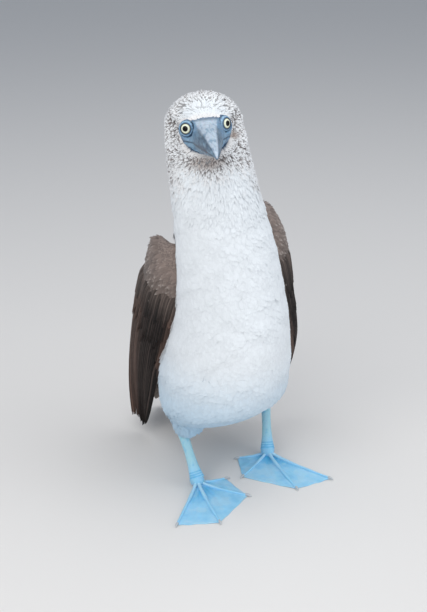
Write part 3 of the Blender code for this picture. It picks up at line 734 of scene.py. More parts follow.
PLUMAGE = Finish("soft feathers", 0.85, Relief.GRAIN, 0.0012, 0.0002, 0.02, 0.10, sheen=0.15, specular=0.25)
VANES = Finish("barbed vanes", 0.65, Relief.BARBS, 0.0011, 0.00010, 0.006, 0.30, specular=0.18)
UNDERSKIN = Finish("skin under the coat", 0.9, Relief.GRAIN, 0.002, 0.0005, 0.01, 0.3, specular=0.2)
BARE_SKIN = Finish("bare slate-blue skin", 0.5, Relief.GRAIN, 0.0014, 0.0005, 0.0030, 0.36, softness=0.08)
HORN = Finish("blue-grey horn", 0.45, Relief.STREAKS, 0.0011, 0.00030, 0.0020, 0.55, softness=0.05)
FOOT_SKIN = Finish(
    "scaled blue skin", 0.55, Relief.SCALES, 0.0016, 0.00012, 0.012, 0.16, softness=0.10, specular=0.4
)
CLAW_HORN = Finish("pale grey claws", 0.45, Relief.GRAIN, 0.001, 0.0001, 0.004, 0.3)
WET_EYE = Finish("wet eye", 0.5, Relief.GRAIN, 0.0006, 0.00002, 0.001, 0.10, coat=0.25, specular=0.05)


# Forms shared by the skin and the coat


@dataclass(frozen=True)
class Stance:
    """Where the bird stands: everything is laid out about its own middle and then moved here."""

    shift: Place = (-0.0061, 0.0135, 0.0)

    def matrix(self) -> Array:
        """The move as a 4 x 4 matrix."""
        return np.array(Matrix.Translation(self.shift))


@dataclass(frozen=True)
class HeadFrame:
    """The head's own axes: ahead along -Y, up along +Z, its middle at the origin."""

    centre: Place = (-0.0496, -0.0846, 0.4421)
    yaw_degrees: float = -6.9
    nod_degrees: float = -3.8
    tilt_degrees: float = -5.0

    def matrix(self) -> Array:
        """Turns about X, then Y, then Z, and moves to the centre.

        Returns:
            4 x 4, from the head's axes to the bird's.
        """
        yaw = Matrix.Rotation(math.radians(self.yaw_degrees), 4, "Z")
        tilt = Matrix.Rotation(math.radians(self.tilt_degrees), 4, "Y")
        nod = Matrix.Rotation(math.radians(self.nod_degrees), 4, "X")
        return np.array(Matrix.Translation(self.centre) @ yaw @ tilt @ nod)

    def from_bird(self, points: Array) -> Array:
        """Points of the bird in the head's own axes."""
        return carried(points, np.linalg.inv(self.matrix()))


STANCE = Stance()
HEAD_AXES = HeadFrame()


def oval_rings(centres: Array, across: Array, high: Array, sizes: Array, sides: int) -> Array:
    """Rings of points: centre + cos(a) width across + sin(a) (above or below) high.

    Args:
        centres: n x 3 middles.
        across: n x 3 or 3 directions.
        high: n x 3 or 3 directions.
        sizes: n x 3: half widths, heights where sin(a) is positive and depths where it is negative.
        sides: Points in a ring.

    Returns:
        n x sides x 3 points.
    """
    turn = turns(sides)
    c, s = np.cos(turn)[None, :, None], np.sin(turn)[None, :, None]
    width, above, below = sizes.T[:, :, None, None]
    across, high = np.atleast_2d(across)[:, None], np.atleast_2d(high)[:, None]
    return centres[:, None] + c * width * across + s * np.where(s > 0, above, below) * high


@dataclass
class Flesh:
    """Trunk, head and thighs as lofts, fused into one skin under the coat."""

    # height, middle x, middle y, half width, depth ahead, depth behind
    trunk: Rows = (
        (0.0750, -0.0270, 0.014, 0.0220, 0.022, 0.034),
        (0.0790, -0.0240, 0.008, 0.0440, 0.042, 0.068),
        (0.0890, -0.0195, -0.002, 0.0610, 0.060, 0.102),
        (0.1030, -0.0160, -0.011, 0.0710, 0.074, 0.132),
        (0.1220, -0.0135, -0.018, 0.0765, 0.086, 0.144),
        (0.1500, -0.0125, -0.024, 0.0765, 0.088, 0.128),
        (0.1800, -0.0110, -0.032, 0.0720, 0.085, 0.106),
        (0.2150, -0.0110, -0.044, 0.0665, 0.077, 0.088),
        (0.2500, -0.0145, -0.055, 0.0615, 0.067, 0.075),
        (0.2900, -0.0205, -0.066, 0.0575, 0.058, 0.063),
        (0.3300, -0.0285, -0.075, 0.0530, 0.051, 0.055),
        (0.3700, -0.0375, -0.082, 0.0480, 0.0465, 0.049),
        (0.3980, -0.0430, -0.085, 0.0450, 0.043, 0.045),
        (0.4200, -0.0470, -0.085, 0.0438, 0.040, 0.044),
        (0.4400, -0.0490, -0.083, 0.0405, 0.026, 0.041),
        (0.4560, -0.0495, -0.080, 0.0260, 0.010, 0.028),
    )
    trunk_roll_degrees: float = 8.0
    # distance ahead, half width, height above, depth below
    head: Rows = (
        (-0.0500, 0.006, 0.005, 0.008),
        (-0.0450, 0.022, 0.018, 0.024),
        (-0.0300, 0.0350, 0.0300, 0.040),
        (-0.0100, 0.0418, 0.0350, 0.047),
        (0.0080, 0.0398, 0.0340, 0.046),
        (0.0200, 0.0330, 0.0275, 0.039),
        (0.0280, 0.0262, 0.0205, 0.033),
        (0.0330, 0.0205, 0.0145, 0.027),
        (0.0360, 0.0130, 0.0080, 0.016),
    )
    # share of the way from root to hem, half width
    thigh: Rows = ((0.0, 0.016), (0.14, 0.028), (0.40, 0.036), (0.70, 0.031), (0.88, 0.0215), (1.0, 0.0130))
    thigh_root: Place = (0.026, 0.010, 0.150)
    voxel: float = 0.0022
    smoothing: int = 10

    def trunk_shell(self) -> Shell:
        """Level ovals from the belly to the head, each lying along the shoulders' slope.

        Returns:
            A closed shell.
        """
        table = resample(self.trunk, 90)
        roll = math.radians(self.trunk_roll_degrees)
        left = np.array([math.cos(roll), 0.0, math.sin(roll)])
        return loft(oval_rings(table[:, [1, 2, 0]], left, AHEAD, table[:, 3:], 96))

    def head_shell(self) -> Shell:
        """Ovals along the bill's direction, in the bird's place."""
        table = resample(self.head, 50)
        return loft(oval_rings(table[:, :1] * AHEAD, ASIDE, UP, table[:, 1:], 80)).moved(HEAD_AXES.matrix())

    def thigh_shell(self, side: Side, heel: Array) -> Shell:
        """A round taper from inside the trunk to the hem at the heel joint.

        Args:
            side: Which thigh.
            heel: Its heel joint.

        Returns:
            A closed shell.
        """
        inwards, ahead, height = self.thigh_root
        root = np.array([heel[0] - side.value * inwards, heel[1] - ahead, height])
        table = resample(self.thigh, 30)
        centres = root + (heel - root) * table[:, :1]
        return tube(centres, table[:, 1], 40)

    def skin(self, heels: dict[Side, Array]) -> Piece:
        """Fuses the forms into one closed surface.

        Args:
            heels: The heel joints.

        Returns:
            The skin's object, at the coat's outer face, in the bird's place.
        """
        forms = [self.trunk_shell(), self.head_shell()]
        forms += [self.thigh_shell(side, heel) for side, heel in heels.items()]
        piece = make_piece("skin", gathered(forms).moved(STANCE.matrix()))
        fuse = piece.modifiers.new("fuse", "REMESH")
        fuse.mode = "VOXEL"
        fuse.voxel_size = self.voxel
        soften = piece.modifiers.new("soften", "SMOOTH")
        soften.iterations = self.smoothing
        return baked(piece)


def tube(centres: Array, radii: Array, sides: int, flatness: float = 1.0) -> Shell:
    """A round bar along a path, a ring square to it at each point.

    Args:
        centres: n x 3 points of the path.
        radii: n half widths.
        sides: Points in a ring.
        flatness: Depth from front to back as a share of the width.

    Returns:
        A closed shell.
    """
    ways = unit(np.gradient(centres, axis=0))
    across = unit(np.cross(ways, np.array([0.0, 1.0, 0.2])))
    deep = np.cross(across, ways)
    sizes = np.stack([radii, radii * flatness, radii * flatness], axis=1)
    return loft(oval_rings(centres, across, deep, sizes, sides))


# Markings

WHITE = rgb(238, 240, 242)
BREAST_WHITE = rgb(232, 237, 241)
# painted shade: the blue-grey that the white takes low on the belly
BELLY_SHADE_BLUE = rgb(178, 206, 226)
EDGE_WHITE = rgb(232, 229, 227)
DUSKY_BROWN = rgb(160, 138, 124)
STREAK_BROWN = rgb(84, 72, 68)
MANTLE_BROWN = rgb(104, 92, 86)
MANTLE_TIP = rgb(190, 182, 176)
WING_BROWN = rgb(92, 73, 65)
WING_DARK = rgb(27, 19, 17)
WING_RIM = rgb(112, 88, 78)
WING_STREAK = rgb(140, 122, 114)
TAIL_BROWN = rgb(88, 76, 68)
TAIL_PALE = rgb(168, 158, 150)
FACE_BLUE = rgb(152, 190, 218)
FACE_DEEP = rgb(84, 116, 150)
FACE_LINE = rgb(34, 48, 66)
BILL_PALE = rgb(208, 224, 240)
BILL_GREY = rgb(112, 138, 160)
# dark seam along the mouth, and painted shade in the bill's two grooves
BILL_SEAM_AND_GROOVE_SHADE = rgb(58, 70, 84)
BILL_ROOT = rgb(118, 150, 178)
FOOT_BLUE = rgb(156, 216, 248)
FOOT_DEEP = rgb(58, 170, 222)
FOOT_PALE = rgb(192, 228, 246)
SHANK_BLUE = rgb(170, 218, 232)
CLAW_GREY = rgb(196, 200, 204)
IRIS = rgb(244, 247, 226)
IRIS_SPOKE = rgb(214, 220, 178)
IRIS_RIM = rgb(120, 124, 92)
PUPIL = rgb(4, 5, 7)
EYE_BACK = rgb(20, 26, 34)


@dataclass(frozen=True)
class Mask:
    """The bare face's outline seen along the bill, in the head's axes, and the oval form under it."""

    # how high the feathers' edge lies over the face, at distances from its middle
    edge_asides: tuple[float, ...] = (0.0, 0.008, 0.0130, 0.0165, 0.0205, 0.0240, 0.0264, 0.0300)
    edge_heights: tuple[float, ...] = (0.0125, 0.0122, 0.0110, 0.0108, 0.0106, 0.0096, 0.0075, 0.0040)
    # how far ahead the feathers' edge lies on the face's side and chin, at heights
    back_heights: tuple[float, ...] = (-0.0350, -0.0290, -0.0245, -0.0200, -0.0150, -0.0100, -0.0050, 0.0040)
    back_aheads: tuple[float, ...] = (0.0900, 0.0440, 0.0360, 0.0290, 0.0230, 0.0195, 0.0180, 0.0172)
    blend_width: float = 0.016
    eye: Place = (0.0195, -0.0275, 0.0031)
    # distance ahead, half width, height above, depth below
    form: Rows = (
        (-0.0040, 0.0200, 0.0112, 0.0230),
        (0.0060, 0.0238, 0.0130, 0.0258),
        (0.0180, 0.0262, 0.0142, 0.0276),
        (0.0250, 0.0246, 0.0134, 0.0272),
        (0.0310, 0.0210, 0.0119, 0.0260),
        (0.0370, 0.0180, 0.0105, 0.0242),
        (0.0430, 0.0160, 0.0094, 0.0220),
        (0.0460, 0.0150, 0.0088, 0.0206),
    )

    def inside(self, heads: Array) -> Array:
        """How far points lie inside the outline, and far outside behind the face.

        Args:
            heads: n x 3 points in the head's axes.

        Returns:
            n distances, negative outside.
        """
        top = np.interp(np.abs(heads[:, 0]), self.edge_asides, self.edge_heights)
        back = np.interp(heads[:, 2], self.back_heights, self.back_aheads)
        gaps = np.stack([top - heads[:, 2], -heads[:, 1] - back, 0.034 - np.abs(heads[:, 0])])
        nearest = gaps.min(axis=0)
        return np.where(nearest > 0, nearest, -np.linalg.norm(np.minimum(gaps, 0.0), axis=0))

    def reach(self, heads: Array) -> Array:
        """The oval form's distance from the head's long axis, in the direction of each point.

        Args:
            heads: n x 3 points in the head's axes.

        Returns:
            n distances: 1 / sqrt((cos / width)^2 + (sin / height)^2).
        """
        table = np.array(self.form)
        ahead = np.clip(-heads[:, 1], table[0, 0], table[-1, 0])
        width, above, below = read_curve(table[:, 0], table[:, 1:], ahead).T
        far = np.maximum(np.hypot(heads[:, 0], heads[:, 2]), 1e-9)
        high = np.where(heads[:, 2] > 0, above, below)
        return 1 / np.sqrt((heads[:, 0] / far / width) ** 2 + (heads[:, 2] / far / high) ** 2)

    def drawn_in(self, heads: Array) -> Array:
        """Draws points of the skin to just under the form inside the outline, and down towards it outside.

        Args:
            heads: n x 3 points in the head's axes.

        Returns:
            The moved points.
        """
        inside = self.inside(heads)
        far = np.hypot(heads[:, 0], heads[:, 2])
        folded = np.column_stack([np.abs(heads[:, 0]), heads[:, 1:]])
        eyes = np.linalg.norm(folded - np.array(self.eye), axis=1)
        target = self.reach(heads) + 0.0020 * smooth(eyes, 0.016, 0.009) - 0.0003
        target = target - 0.0045 * smooth(inside, -0.0008, 0.0020)
        share = smooth(inside, -self.blend_width, -0.0008)
        pulled = np.where(far > target, far + (target - far) * share, far) / np.maximum(far, 1e-9)
        moved = heads.copy()
        moved[:, 0] *= pulled
        moved[:, 2] *= pulled
        return moved


MASK = Mask()


@dataclass
class Coating:
    """Roots on the skin with what a feather needs to know about its place."""

    roots: Array
    normals: Array
    bends: Array | float = 0.0

    def __post_init__(self) -> None:
        """Works out each root's place in the bird and in the head's axes."""
        self.bird = self.roots - np.array(STANCE.shift)
        self.heads = HEAD_AXES.from_bird(self.bird)

    def picked(self, chosen: Array) -> "Coating":
        """The chosen roots alone."""
        return type(self)(*(getattr(self, item.name)[chosen] for item in fields(self)))

    def streaks(self) -> Array:
        """How brown-streaked the plumage is, 0 white to 1 brown.

        Full on crown, cheeks and nape, pale over the forehead, and fading down the neck: first in front, then
        at the sides, and not at all behind.

        Returns:
            One number for each root.
        """
        height, facing = self.bird[:, 2] + 0.009 * mottle(self.roots, 0.009, 6), self.normals[:, 1]
        front = smooth(facing, -0.35, -0.85)
        fade = smooth(height, 0.352 + 0.030 * front, 0.408 + 0.012 * front)
        behind = smooth(facing, 0.10, 0.55)
        forehead = smooth(-self.heads[:, 1], 0.004, 0.026) * smooth(self.heads[:, 2], 0.006, 0.014)
        return np.clip(np.maximum(fade, behind * smooth(height, 0.10, 0.16)) - 0.80 * forehead, 0.0, 1.0)

    def edging(self) -> Array:
        """How near to the bare face a place is, 1 at its edge."""
        return smooth(MASK.inside(self.heads), -0.0026, -0.0004)

    def dusky(self) -> Array:
        """A soft brown wash under the bare chin and on the cheek beside the gape.

        Returns:
            One number for each root, 0 to 1.
        """
        chin = (-0.003, -0.037, -0.029), (0.018, 0.014, 0.0070)
        cheek = (0.0260, -0.017, -0.0095), (0.006, 0.008, 0.0055)
        away = [np.linalg.norm((self.heads - middle) / size, axis=1) for middle, size in (chin, cheek)]
        return np.maximum(0.8 * smooth(away[0], 1.3, 0.3), smooth(away[1], 1.3, 0.3))

    def shaded(self) -> Array:
        """Painted shade: a blue-grey cast low on the belly."""
        return smooth(self.bird[:, 2], 0.205, 0.085)

    def mantle(self) -> Array:
        """How much of the back's brown is on a place: the back between the wings, down to the rump."""
        height, facing = self.bird[:, 2], self.normals[:, 1]
        return smooth(facing, 0.12, 0.48) * smooth(height, 0.085, 0.125) * smooth(height, 0.375, 0.33)

    def tone(self) -> Array:
        """How light the brown is: patchy, and paler on the rump."""
        rump = smooth(self.bird[:, 2], 0.150, 0.105)
        return 1.0 + 0.35 * mottle(self.roots, 0.018, 2) + 0.5 * rump

    def flecks(self, luck: Array) -> Array:
        """How pale the tips of the brown feathers are."""
        return 0.15 + 0.85 * luck**2

    def ground(self) -> Array:
        """Colour of the skin under the feathers, and of their roots.

        Returns:
            One colour for each root.
        """
        # painted shade: the skin turns blue-grey low on the belly
        white = blend(BREAST_WHITE * 0.92, BELLY_SHADE_BLUE * 0.92, self.shaded())
        colour = blend(white, STREAK_BROWN * 0.75, self.streaks() * 0.9)
        colour = blend(colour, EDGE_WHITE, self.edging())
        colour = blend(colour, FACE_DEEP * 0.4, smooth(MASK.inside(self.heads), 0.0010, 0.0028))
        return blend(colour, MANTLE_BROWN * 0.7, self.mantle())

    def flow(self) -> Array:
        """The way the feathers lie: back and down over the head, down the trunk, and back under the belly.

        Returns:
            A direction square to the normal for each root.
        """
        turn = HEAD_AXES.matrix()[:3, :3]
        over_head = turn @ np.array([0.0, 1.0, -0.55])
        down_body = np.array([0.0, 0.30, -1.0])
        share = smooth(self.heads[:, 2], -0.070, -0.012)[:, None]
        way = down_body * (1 - share) + over_head * share
        aside = self.heads[:, 0]
        way[:, 0] += 0.25 * np.sign(aside) * smooth(np.abs(aside), 0.0, 0.03) * share[:, 0]
        return unit(way - (way * self.normals).sum(axis=1, keepdims=True) * self.normals)

    def flat_places(self) -> Array:
        """Places on an unwrap of the skin: the turn about the trunk's upright line, and the height.

        Returns:
            Two numbers for each root.
        """
        heights = (0.08, 0.20, 0.30, 0.45)
        x = self.bird[:, 0] - np.interp(self.bird[:, 2], heights, (-0.017, -0.011, -0.022, -0.0495))
        y = self.bird[:, 1] - np.interp(self.bird[:, 2], heights, (0.010, -0.040, -0.068, -0.083))
        turn = np.arctan2(x, y)
        return np.stack([0.5 + turn / (2 * math.pi) * 0.98, 0.02 + self.bird[:, 2] * 2.0], axis=1)


@dataclass(frozen=True)
class Plumes:
    """One kind of small feather: how densely it grows, its shape and its lift from the skin."""

    name: str
    slot: Slot
    spacing: float
    length: float
    half_width: float
    lift: float
    widths: tuple[float, float, float, float]
    rows: tuple[float, float, float, float] = (0.0, 0.32, 0.64, 0.87)
    unevenness: float = 0.08
    thickness: float = 0.0004
    stray: float = 0.14
    sink: float = 0.0008
    arch: float = 0.10

    def colours(self, ground: Coating, t: Array, s: Array, luck: Array) -> Array:
        """Colour over each feather: brown at its root and along its middle, and white at its tip and edges.

        Args:
            ground: The roots.
            t: Share of the feather's length, of a shape that starts with the roots.
            s: Share of its half width, 0 at the middle.
            luck: A random number for each root.

        Returns:
            Colours of t's shape.
        """
        each = (slice(None),) + (None,) * (t.ndim - 1)
        edging, tip = ground.edging()[each], smooth(t, 0.78, 1.0) * ground.flecks(luck)[each]
        shade = ((0.72 + 0.56 * luck) * ground.tone())[each]
        luck = luck[each]
        brown = (1 - smooth(t, 0.40 + 0.22 * luck**2, 0.68 + 0.28 * luck**2)) * (1 - 0.35 * s)
        streak = smooth(ground.streaks()[each], 0.5 * luck, 0.5 + 0.5 * luck) * (1 - 0.9 * edging)
        # painted shade: the white feathers turn blue-grey low on the belly
        pale = blend(blend(BREAST_WHITE, BELLY_SHADE_BLUE, ground.shaded()[each]), WHITE, streak)
        pale = blend(pale * (0.95 + 0.07 * luck)[..., None], EDGE_WHITE, 0.7 * edging + 0 * t)
        pale = blend(pale, DUSKY_BROWN, 0.75 * ground.dusky()[each] + 0 * t)
        head = blend(pale, STREAK_BROWN * (0.7 + 0.5 * luck)[..., None], brown * streak * 0.95)
        back = blend(MANTLE_BROWN * shade[..., None], MANTLE_TIP, tip)
        return blend(head, back, ground.mantle()[each] + 0 * t)

    def grow(self, ground: Coating, draw: Draw) -> Shell:
        """Makes the feathers.

        A feather's line is root + way L t + normal (sink and lift, which grow with t, less bend (L t)^2 / 2),
        and its section has an edge at either side, a ridge above and a keel below.

        Args:
            ground: The roots.
            draw: Source of chance.

        Returns:
            One shell of all feathers.
        """
        count = len(ground.roots)
        luck = draw.uniform(0, 1, count)
        size = draw.uniform(0.85, 1.15, count)
        length, half = self.length * size, self.half_width * size
        normal, way = ground.normals, ground.flow()
        angle = draw.normal(0, self.stray, count)[:, None]
        side = np.cross(normal, way)
        way = unit(way * np.cos(angle) + side * np.sin(angle))
        side = np.cross(normal, way)
        t = np.array([*self.rows, 1.0])
        lift = self.lift * draw.normal(1.0, self.unevenness, count)[:, None]
        rise = -self.sink + (self.sink + lift) * t ** 0.8
        rise = rise - ground.bends[:, None] * (length[:, None] * t) ** 2 / 2
        line = ground.roots[:, None] + way[:, None] * (length[:, None] * t)[..., None]
        line = line + normal[:, None] * rise[..., None]
        width = half[:, None] * np.array(self.widths)
        thick = 0.5 * self.thickness * np.array([0.8, 1.0, 0.9, 0.6])
        edge, ridge, keel = -self.arch * width, thick + 0 * width, -thick - 0.04 * width
        corners = np.array([1.0, 0.0, -1.0, 0.0])
        rings = line[:, :4, None] + side[:, None, None] * (width[..., None] * corners)[..., None]
        rings = rings + normal[:, None, None] * np.stack([edge, ridge, edge, keel], axis=-1)[..., None]
        shape = (count, 4, 4)
        t_grid, s_grid = np.broadcast_to(t[:4, None], shape), np.broadcast_to(np.abs(corners), shape)
        flat, patch = ground.flat_places(), 0.0014
        cell = np.stack(np.broadcast_arrays(-patch * corners, (0.5 - t[:4, None]) * 2 * patch), axis=-1)
        ones = np.ones((count, 1))
        return quills(
            (rings, line[:, 4]),
            (self.colours(ground, t_grid, s_grid, luck), self.colours(ground, ones, 0 * ones, luck)[:, 0]),
            (flat[:, None, None] + cell, flat + np.array([0.0, -patch])),
        )


POINTED = (0.65, 1.0, 0.80, 0.42)
ROUNDED = (0.60, 0.95, 1.0, 0.74)
FACE_PLUMES = Plumes(
    "coat_face", Slot.STREAKED, 0.0012, 0.0038, 0.00075, 0.0006, POINTED, stray=0.2, sink=0.0004
)
HEAD_PLUMES = Plumes(
    "coat_head", Slot.STREAKED, 0.0019, 0.0062, 0.00115, 0.0011, POINTED, stray=0.25, arch=0.2, unevenness=0.4
)
NECK_PLUMES = Plumes(
    "coat_neck", Slot.STREAKED, 0.0028, 0.0125, 0.0021, 0.0013, POINTED, arch=0.15, unevenness=0.3
)
BREAST_PLUMES = Plumes(
    "coat_breast", Slot.WHITE, 0.0034, 0.0150, 0.0036, 0.0010, ROUNDED, thickness=0.0002, stray=0.08
)
BELLY_PLUMES = replace(BREAST_PLUMES, name="coat_belly", spacing=0.0038, half_width=0.0038)
BACK_PLUMES = Plumes("coat_back", Slot.BROWN, 0.0052, 0.0210, 0.0058, 0.0018, ROUNDED, stray=0.10)
THIGH_PLUMES = Plumes(
    "coat_thighs", Slot.WHITE, 0.0027, 0.0135, 0.0019, 0.0012, POINTED, thickness=0.0002, unevenness=0.5
)


@dataclass
class Body:
    """The skin and its coat."""

    flesh: Flesh = field(default_factory=Flesh)
    depth_head: float = 0.0022
    depth_body: float = 0.0030
    throws: int = 420000
    seed: int = 11

    def build(self, heels: dict[Side, Array]) -> None:
        """Makes the skin and grows every kind of feather on it.

        Args:
            heels: The heel joints.
        """
        skin = self.flesh.skin(heels)
        paint(skin.data, self.sink(skin).ground())
        nodes = ("torso", "neck", "head", "thigh_left", "thigh_right")
        finish_piece(skin, UNDERSKIN.material(), nodes)
        material = PLUMAGE.material()
        draw = np.random.default_rng(self.seed)
        roots = self.scatter(skin, draw)
        for plumes, chosen in self.shares(roots, heels, draw):
            spots = roots.picked(chosen)
            spots = spots.picked(one_in_each(spots.roots, plumes.spacing))
            piece = make_piece(plumes.name, plumes.grow(spots, draw), sharp_degrees=70)
            finish_piece(piece, material)

    def sink(self, skin: Piece) -> Coating:
        """Draws the skin in by the coat's depth, and back behind the bare face.

        Args:
            skin: The skin at the coat's outer face.

        Returns:
            The skin's points as roots.
        """
        points, normals = read_mesh(skin)
        share = smooth(Coating(points, normals).heads[:, 2], -0.10, -0.04)
        depth = self.depth_body * (1 - share) + self.depth_head * share
        points = self.soft_low(skin, points - normals * depth[:, None])
        points = points + normals * self.lumps(points)[:, None]
        heads = MASK.drawn_in(Coating(points, normals).heads)
        points = carried(heads, HEAD_AXES.matrix()) + np.array(STANCE.shift)
        skin.data.vertices.foreach_set("co", points.astype(np.float32).ravel())
        skin.data.update()
        return Coating(*read_mesh(skin))

    def soft_low(self, skin: Piece, points: Array) -> Array:
        """Evens out the low part of the skin, where the legs leave the belly.

        Args:
            skin: The skin, for its edges.
            points: Its points.

        Returns:
            The points, those between the shanks' tops and the belly moved.
        """
        low = np.flatnonzero(points[:, 2] < 0.170)
        place = np.full(len(points), -1)
        place[low] = np.arange(len(low))
        edges = place[fetched(skin.data.edges, "vertices", 2, np.int32)]
        even = evened(points[low], tuple(edges[(edges >= 0).all(axis=1)].T), 45)
        share = smooth(points[low, 2], 0.150, 0.085) * smooth(points[low, 2], 0.062, 0.078)
        points = points.copy()
        points[low] += (even - points[low]) * share[:, None]
        return points

    def lumps(self, points: Array) -> Array:
        """Soft swellings of the plumage, up to 0.4 mm high, as sums of sines of the place.

        Args:
            points: n x 3 places.

        Returns:
            n heights.
        """
        x, y, z = (points * 2 * math.pi / 0.055).T
        waves = np.sin(x + 1.3 * np.sin(0.7 * z)) * np.sin(0.9 * z + 0.6 * y)
        waves = waves + 0.4 * np.sin(1.5 * x - 0.8 * z) * np.sin(1.3 * z + y)
        return 0.00028 * waves * smooth(points[:, 2], 0.40, 0.34)

    def bends(self, skin: Piece) -> Array:
        """How much the skin falls away along the way its feathers lie, at each of its points, as 1 / radius.

        Along an edge from p to q it is (n_q - n_p) . (q - p) / |q - p|^2. A point takes the mean of its
        edges, weighted by how well they run with the feathers, and that is evened out over its neighbours.

        Args:
            skin: The skin.

        Returns:
            One number for each point.
        """
        points, normals = read_mesh(skin)
        p, q = fetched(skin.data.edges, "vertices", 2, np.int32).T
        run = points[q] - points[p]
        size = np.maximum((run * run).sum(axis=1), 1e-12)
        fall = ((normals[q] - normals[p]) * run).sum(axis=1) / size
        way = Coating(points, normals).flow()
        total, weights = np.zeros(len(points)), np.full(len(points), 1e-6)
        for end in (p, q):
            weight = ((run * way[end]).sum(axis=1) ** 2 / size) ** 2
            np.add.at(total, end, fall * weight)
            np.add.at(weights, end, weight)
        return np.clip(evened(total / weights, (p, q), 12), -20.0, 60.0)

    def scatter(self, skin: Piece, draw: Draw) -> Coating:
        """Throws roots evenly over the skin's area, outside the bare face.

        Args:
            skin: The skin.
            draw: Source of chance.

        Returns:
            Many more roots than feathers.
        """
        skin.data.calc_loop_triangles()
        tris = fetched(skin.data.loop_triangles, "vertices", 3, np.int32)
        points, normals = (values[tris] for values in read_mesh(skin))
        area = np.linalg.norm(np.cross(points[:, 1] - points[:, 0], points[:, 2] - points[:, 0]), axis=1)
        picks = draw.choice(len(tris), self.throws, p=area / area.sum())
        u, v = draw.uniform(0, 1, (2, len(picks), 1))
        u, v = np.where(u + v > 1, (1 - u, 1 - v), (u, v))
        spots, ways = (
            values[picks, 0] * (1 - u - v) + values[picks, 1] * u + values[picks, 2] * v
            for values in (points, normals)
        )
        ground = Coating(spots, unit(ways), self.bends(skin)[tris[picks, 0]])
        return ground.picked(MASK.inside(ground.heads) < 0.0012)

    def shares(self, ground: Coating, heels: dict[Side, Array], draw: Draw) -> list[tuple[Plumes, Array]]:
        """Which kind of feather grows on each root; neighbouring kinds mingle over some millimetres.

        Args:
            ground: All roots.
            heels: The heel joints.
            draw: Source of chance.

        Returns:
            Each kind with its roots.
        """
        height = ground.bird[:, 2] + draw.normal(0, 0.005, len(ground.roots))
        leg = np.zeros(len(height), bool)
        for heel in heels.values():
            away = np.linalg.norm(ground.bird[:, :2] - heel[:2], axis=1)
            leg |= (away < 0.034) & (height < heel[2] + 0.026)
        face = MASK.inside(ground.heads) > -0.0062
        head = ~face & (height > 0.405)
        neck = ~face & ~head & (height > 0.365)
        trunk = ~face & ~head & ~neck & ~leg
        back = trunk & (ground.mantle() + draw.normal(0, 0.12, len(height)) > 0.5)
        breast = trunk & ~back & (height > 0.200)
        belly = trunk & ~back & ~breast
        return [
            (FACE_PLUMES, face),
            (HEAD_PLUMES, head),
            (NECK_PLUMES, neck),
            (BREAST_PLUMES, breast),
            (BELLY_PLUMES, belly),
            (BACK_PLUMES, back),
            (THIGH_PLUMES, leg),
        ]


# Wings


@dataclass(frozen=True)
class VaneGrid:
    """The rows and columns of points of every long feather."""

    rows: int
    columns: int = 7

    @property
    def t(self) -> Array:
        """Share along a feather, in steps that shorten towards its tip."""
        return 1 - (1 - np.linspace(0, 1, self.rows)) ** 1.35

    @property
    def s(self) -> Array:
        """Share across a feather, -1 to 1."""
        return np.linspace(-1, 1, self.columns)

    def sheets(
        self, surface: Surface, grid: Grids, lie: Grids, colours: Array, strip: tuple[float, ...]
    ) -> Shell:
        """Makes feathers as thin sheets, thinnest at their tips and edges.

        Args:
            surface: Gives the place for a share along, a distance across and a height.
            grid: These three for every point of every feather.
            lie: How far across and along its feather each point lies.
            colours: A colour for each point.
            strip: On the unwrap, the width of a feather and the start and height of the row.

        Returns:
            One shell of all feathers.
        """
        along, aside, high = grid
        t, s = self.t[:, None], self.s
        thick = (0.0006 - 0.00035 * t) * (1 - 0.5 * s**2)
        width, start, tall = strip
        order = np.arange(len(high))[:, None, None]
        places = np.broadcast_arrays(0.01 + (order + 0.5 + 0.42 * s) * width, start + tall * t)
        lies = np.broadcast_arrays(*lie, np.zeros(1))
        top, bottom = (surface(along, aside, high + part * thick) for part in (0.5, -0.5))
        return vanes(top, bottom, colours, np.stack(places, axis=-1), np.stack(lies, axis=-1))


def skin_of(surface: Surface, share: Array, turn: Array) -> tuple[Array, Array]:
    """Places on the core of a wing or the tail.

    Args:
        surface: Gives the place for a share along, a turn about the middle and a reach from it.
        share: n shares.
        turn: n turns.

    Returns:
        The places and the normals there, which point away from the core's middle.
    """
    step = 1e-3
    spots = surface(share, turn)
    along = surface(share + step, turn) - surface(share - step, turn)
    around = surface(share, turn + step) - surface(share, turn - step)
    normals = unit(np.cross(along, around))
    outer = ((surface(share, turn, 1.1) - spots) * normals).sum(axis=1, keepdims=True)
    return spots, normals * np.sign(outer)


def build_limb(name: str, long: list[Shell], short: Shell) -> None:
    """Makes a wing or the tail: its vanes in place of its solid, and its coverts.

    Args:
        name: The solid's name.
        long: Core and vanes.
        short: The coverts, already in the bird's place.
    """
    piece = make_piece(f"{name}_vanes", gathered(long).moved(STANCE.matrix()), sharp_degrees=50)
    finish_piece(piece, VANES.material(), (name,))
    piece = make_piece(f"{name}_coverts", short, sharp_degrees=70)
    finish_piece(piece, PLUMAGE.material())


@dataclass(frozen=True)
class Tier:
    """One row of feathers on a wing: its ends as (share along, distance across), its form and its colours."""

    name: str
    count: int
    first_root: tuple[float, float]
    last_root: tuple[float, float]
    first_tip: tuple[float, float]
    last_tip: tuple[float, float]
    half_width: float
    level: float
    step: float
    shade: float
    fringe: float
    ragged: float = 0.012
    blade: bool = False
    first_bow: float = 0.0
    last_bow: float = 0.0
    clearance: float = 0.0004

    def outline(self, t: Array) -> Array:
        """Width along a feather as a share of its full width."""
        shares, widths = np.array(BLADE if self.blade else LEAF).T
        return read_curve(shares, widths[:, None], t)[:, 0]


GRID = VaneGrid(15)
LEAF = ((0.0, 0.45), (0.25, 0.85), (0.60, 1.00), (0.84, 0.90), (0.94, 0.64), (0.985, 0.30), (1.0, 0.04))
BLADE = ((0.0, 0.55), (0.25, 0.90), (0.50, 1.00), (0.78, 0.84), (0.92, 0.56), (0.98, 0.28), (1.0, 0.04))


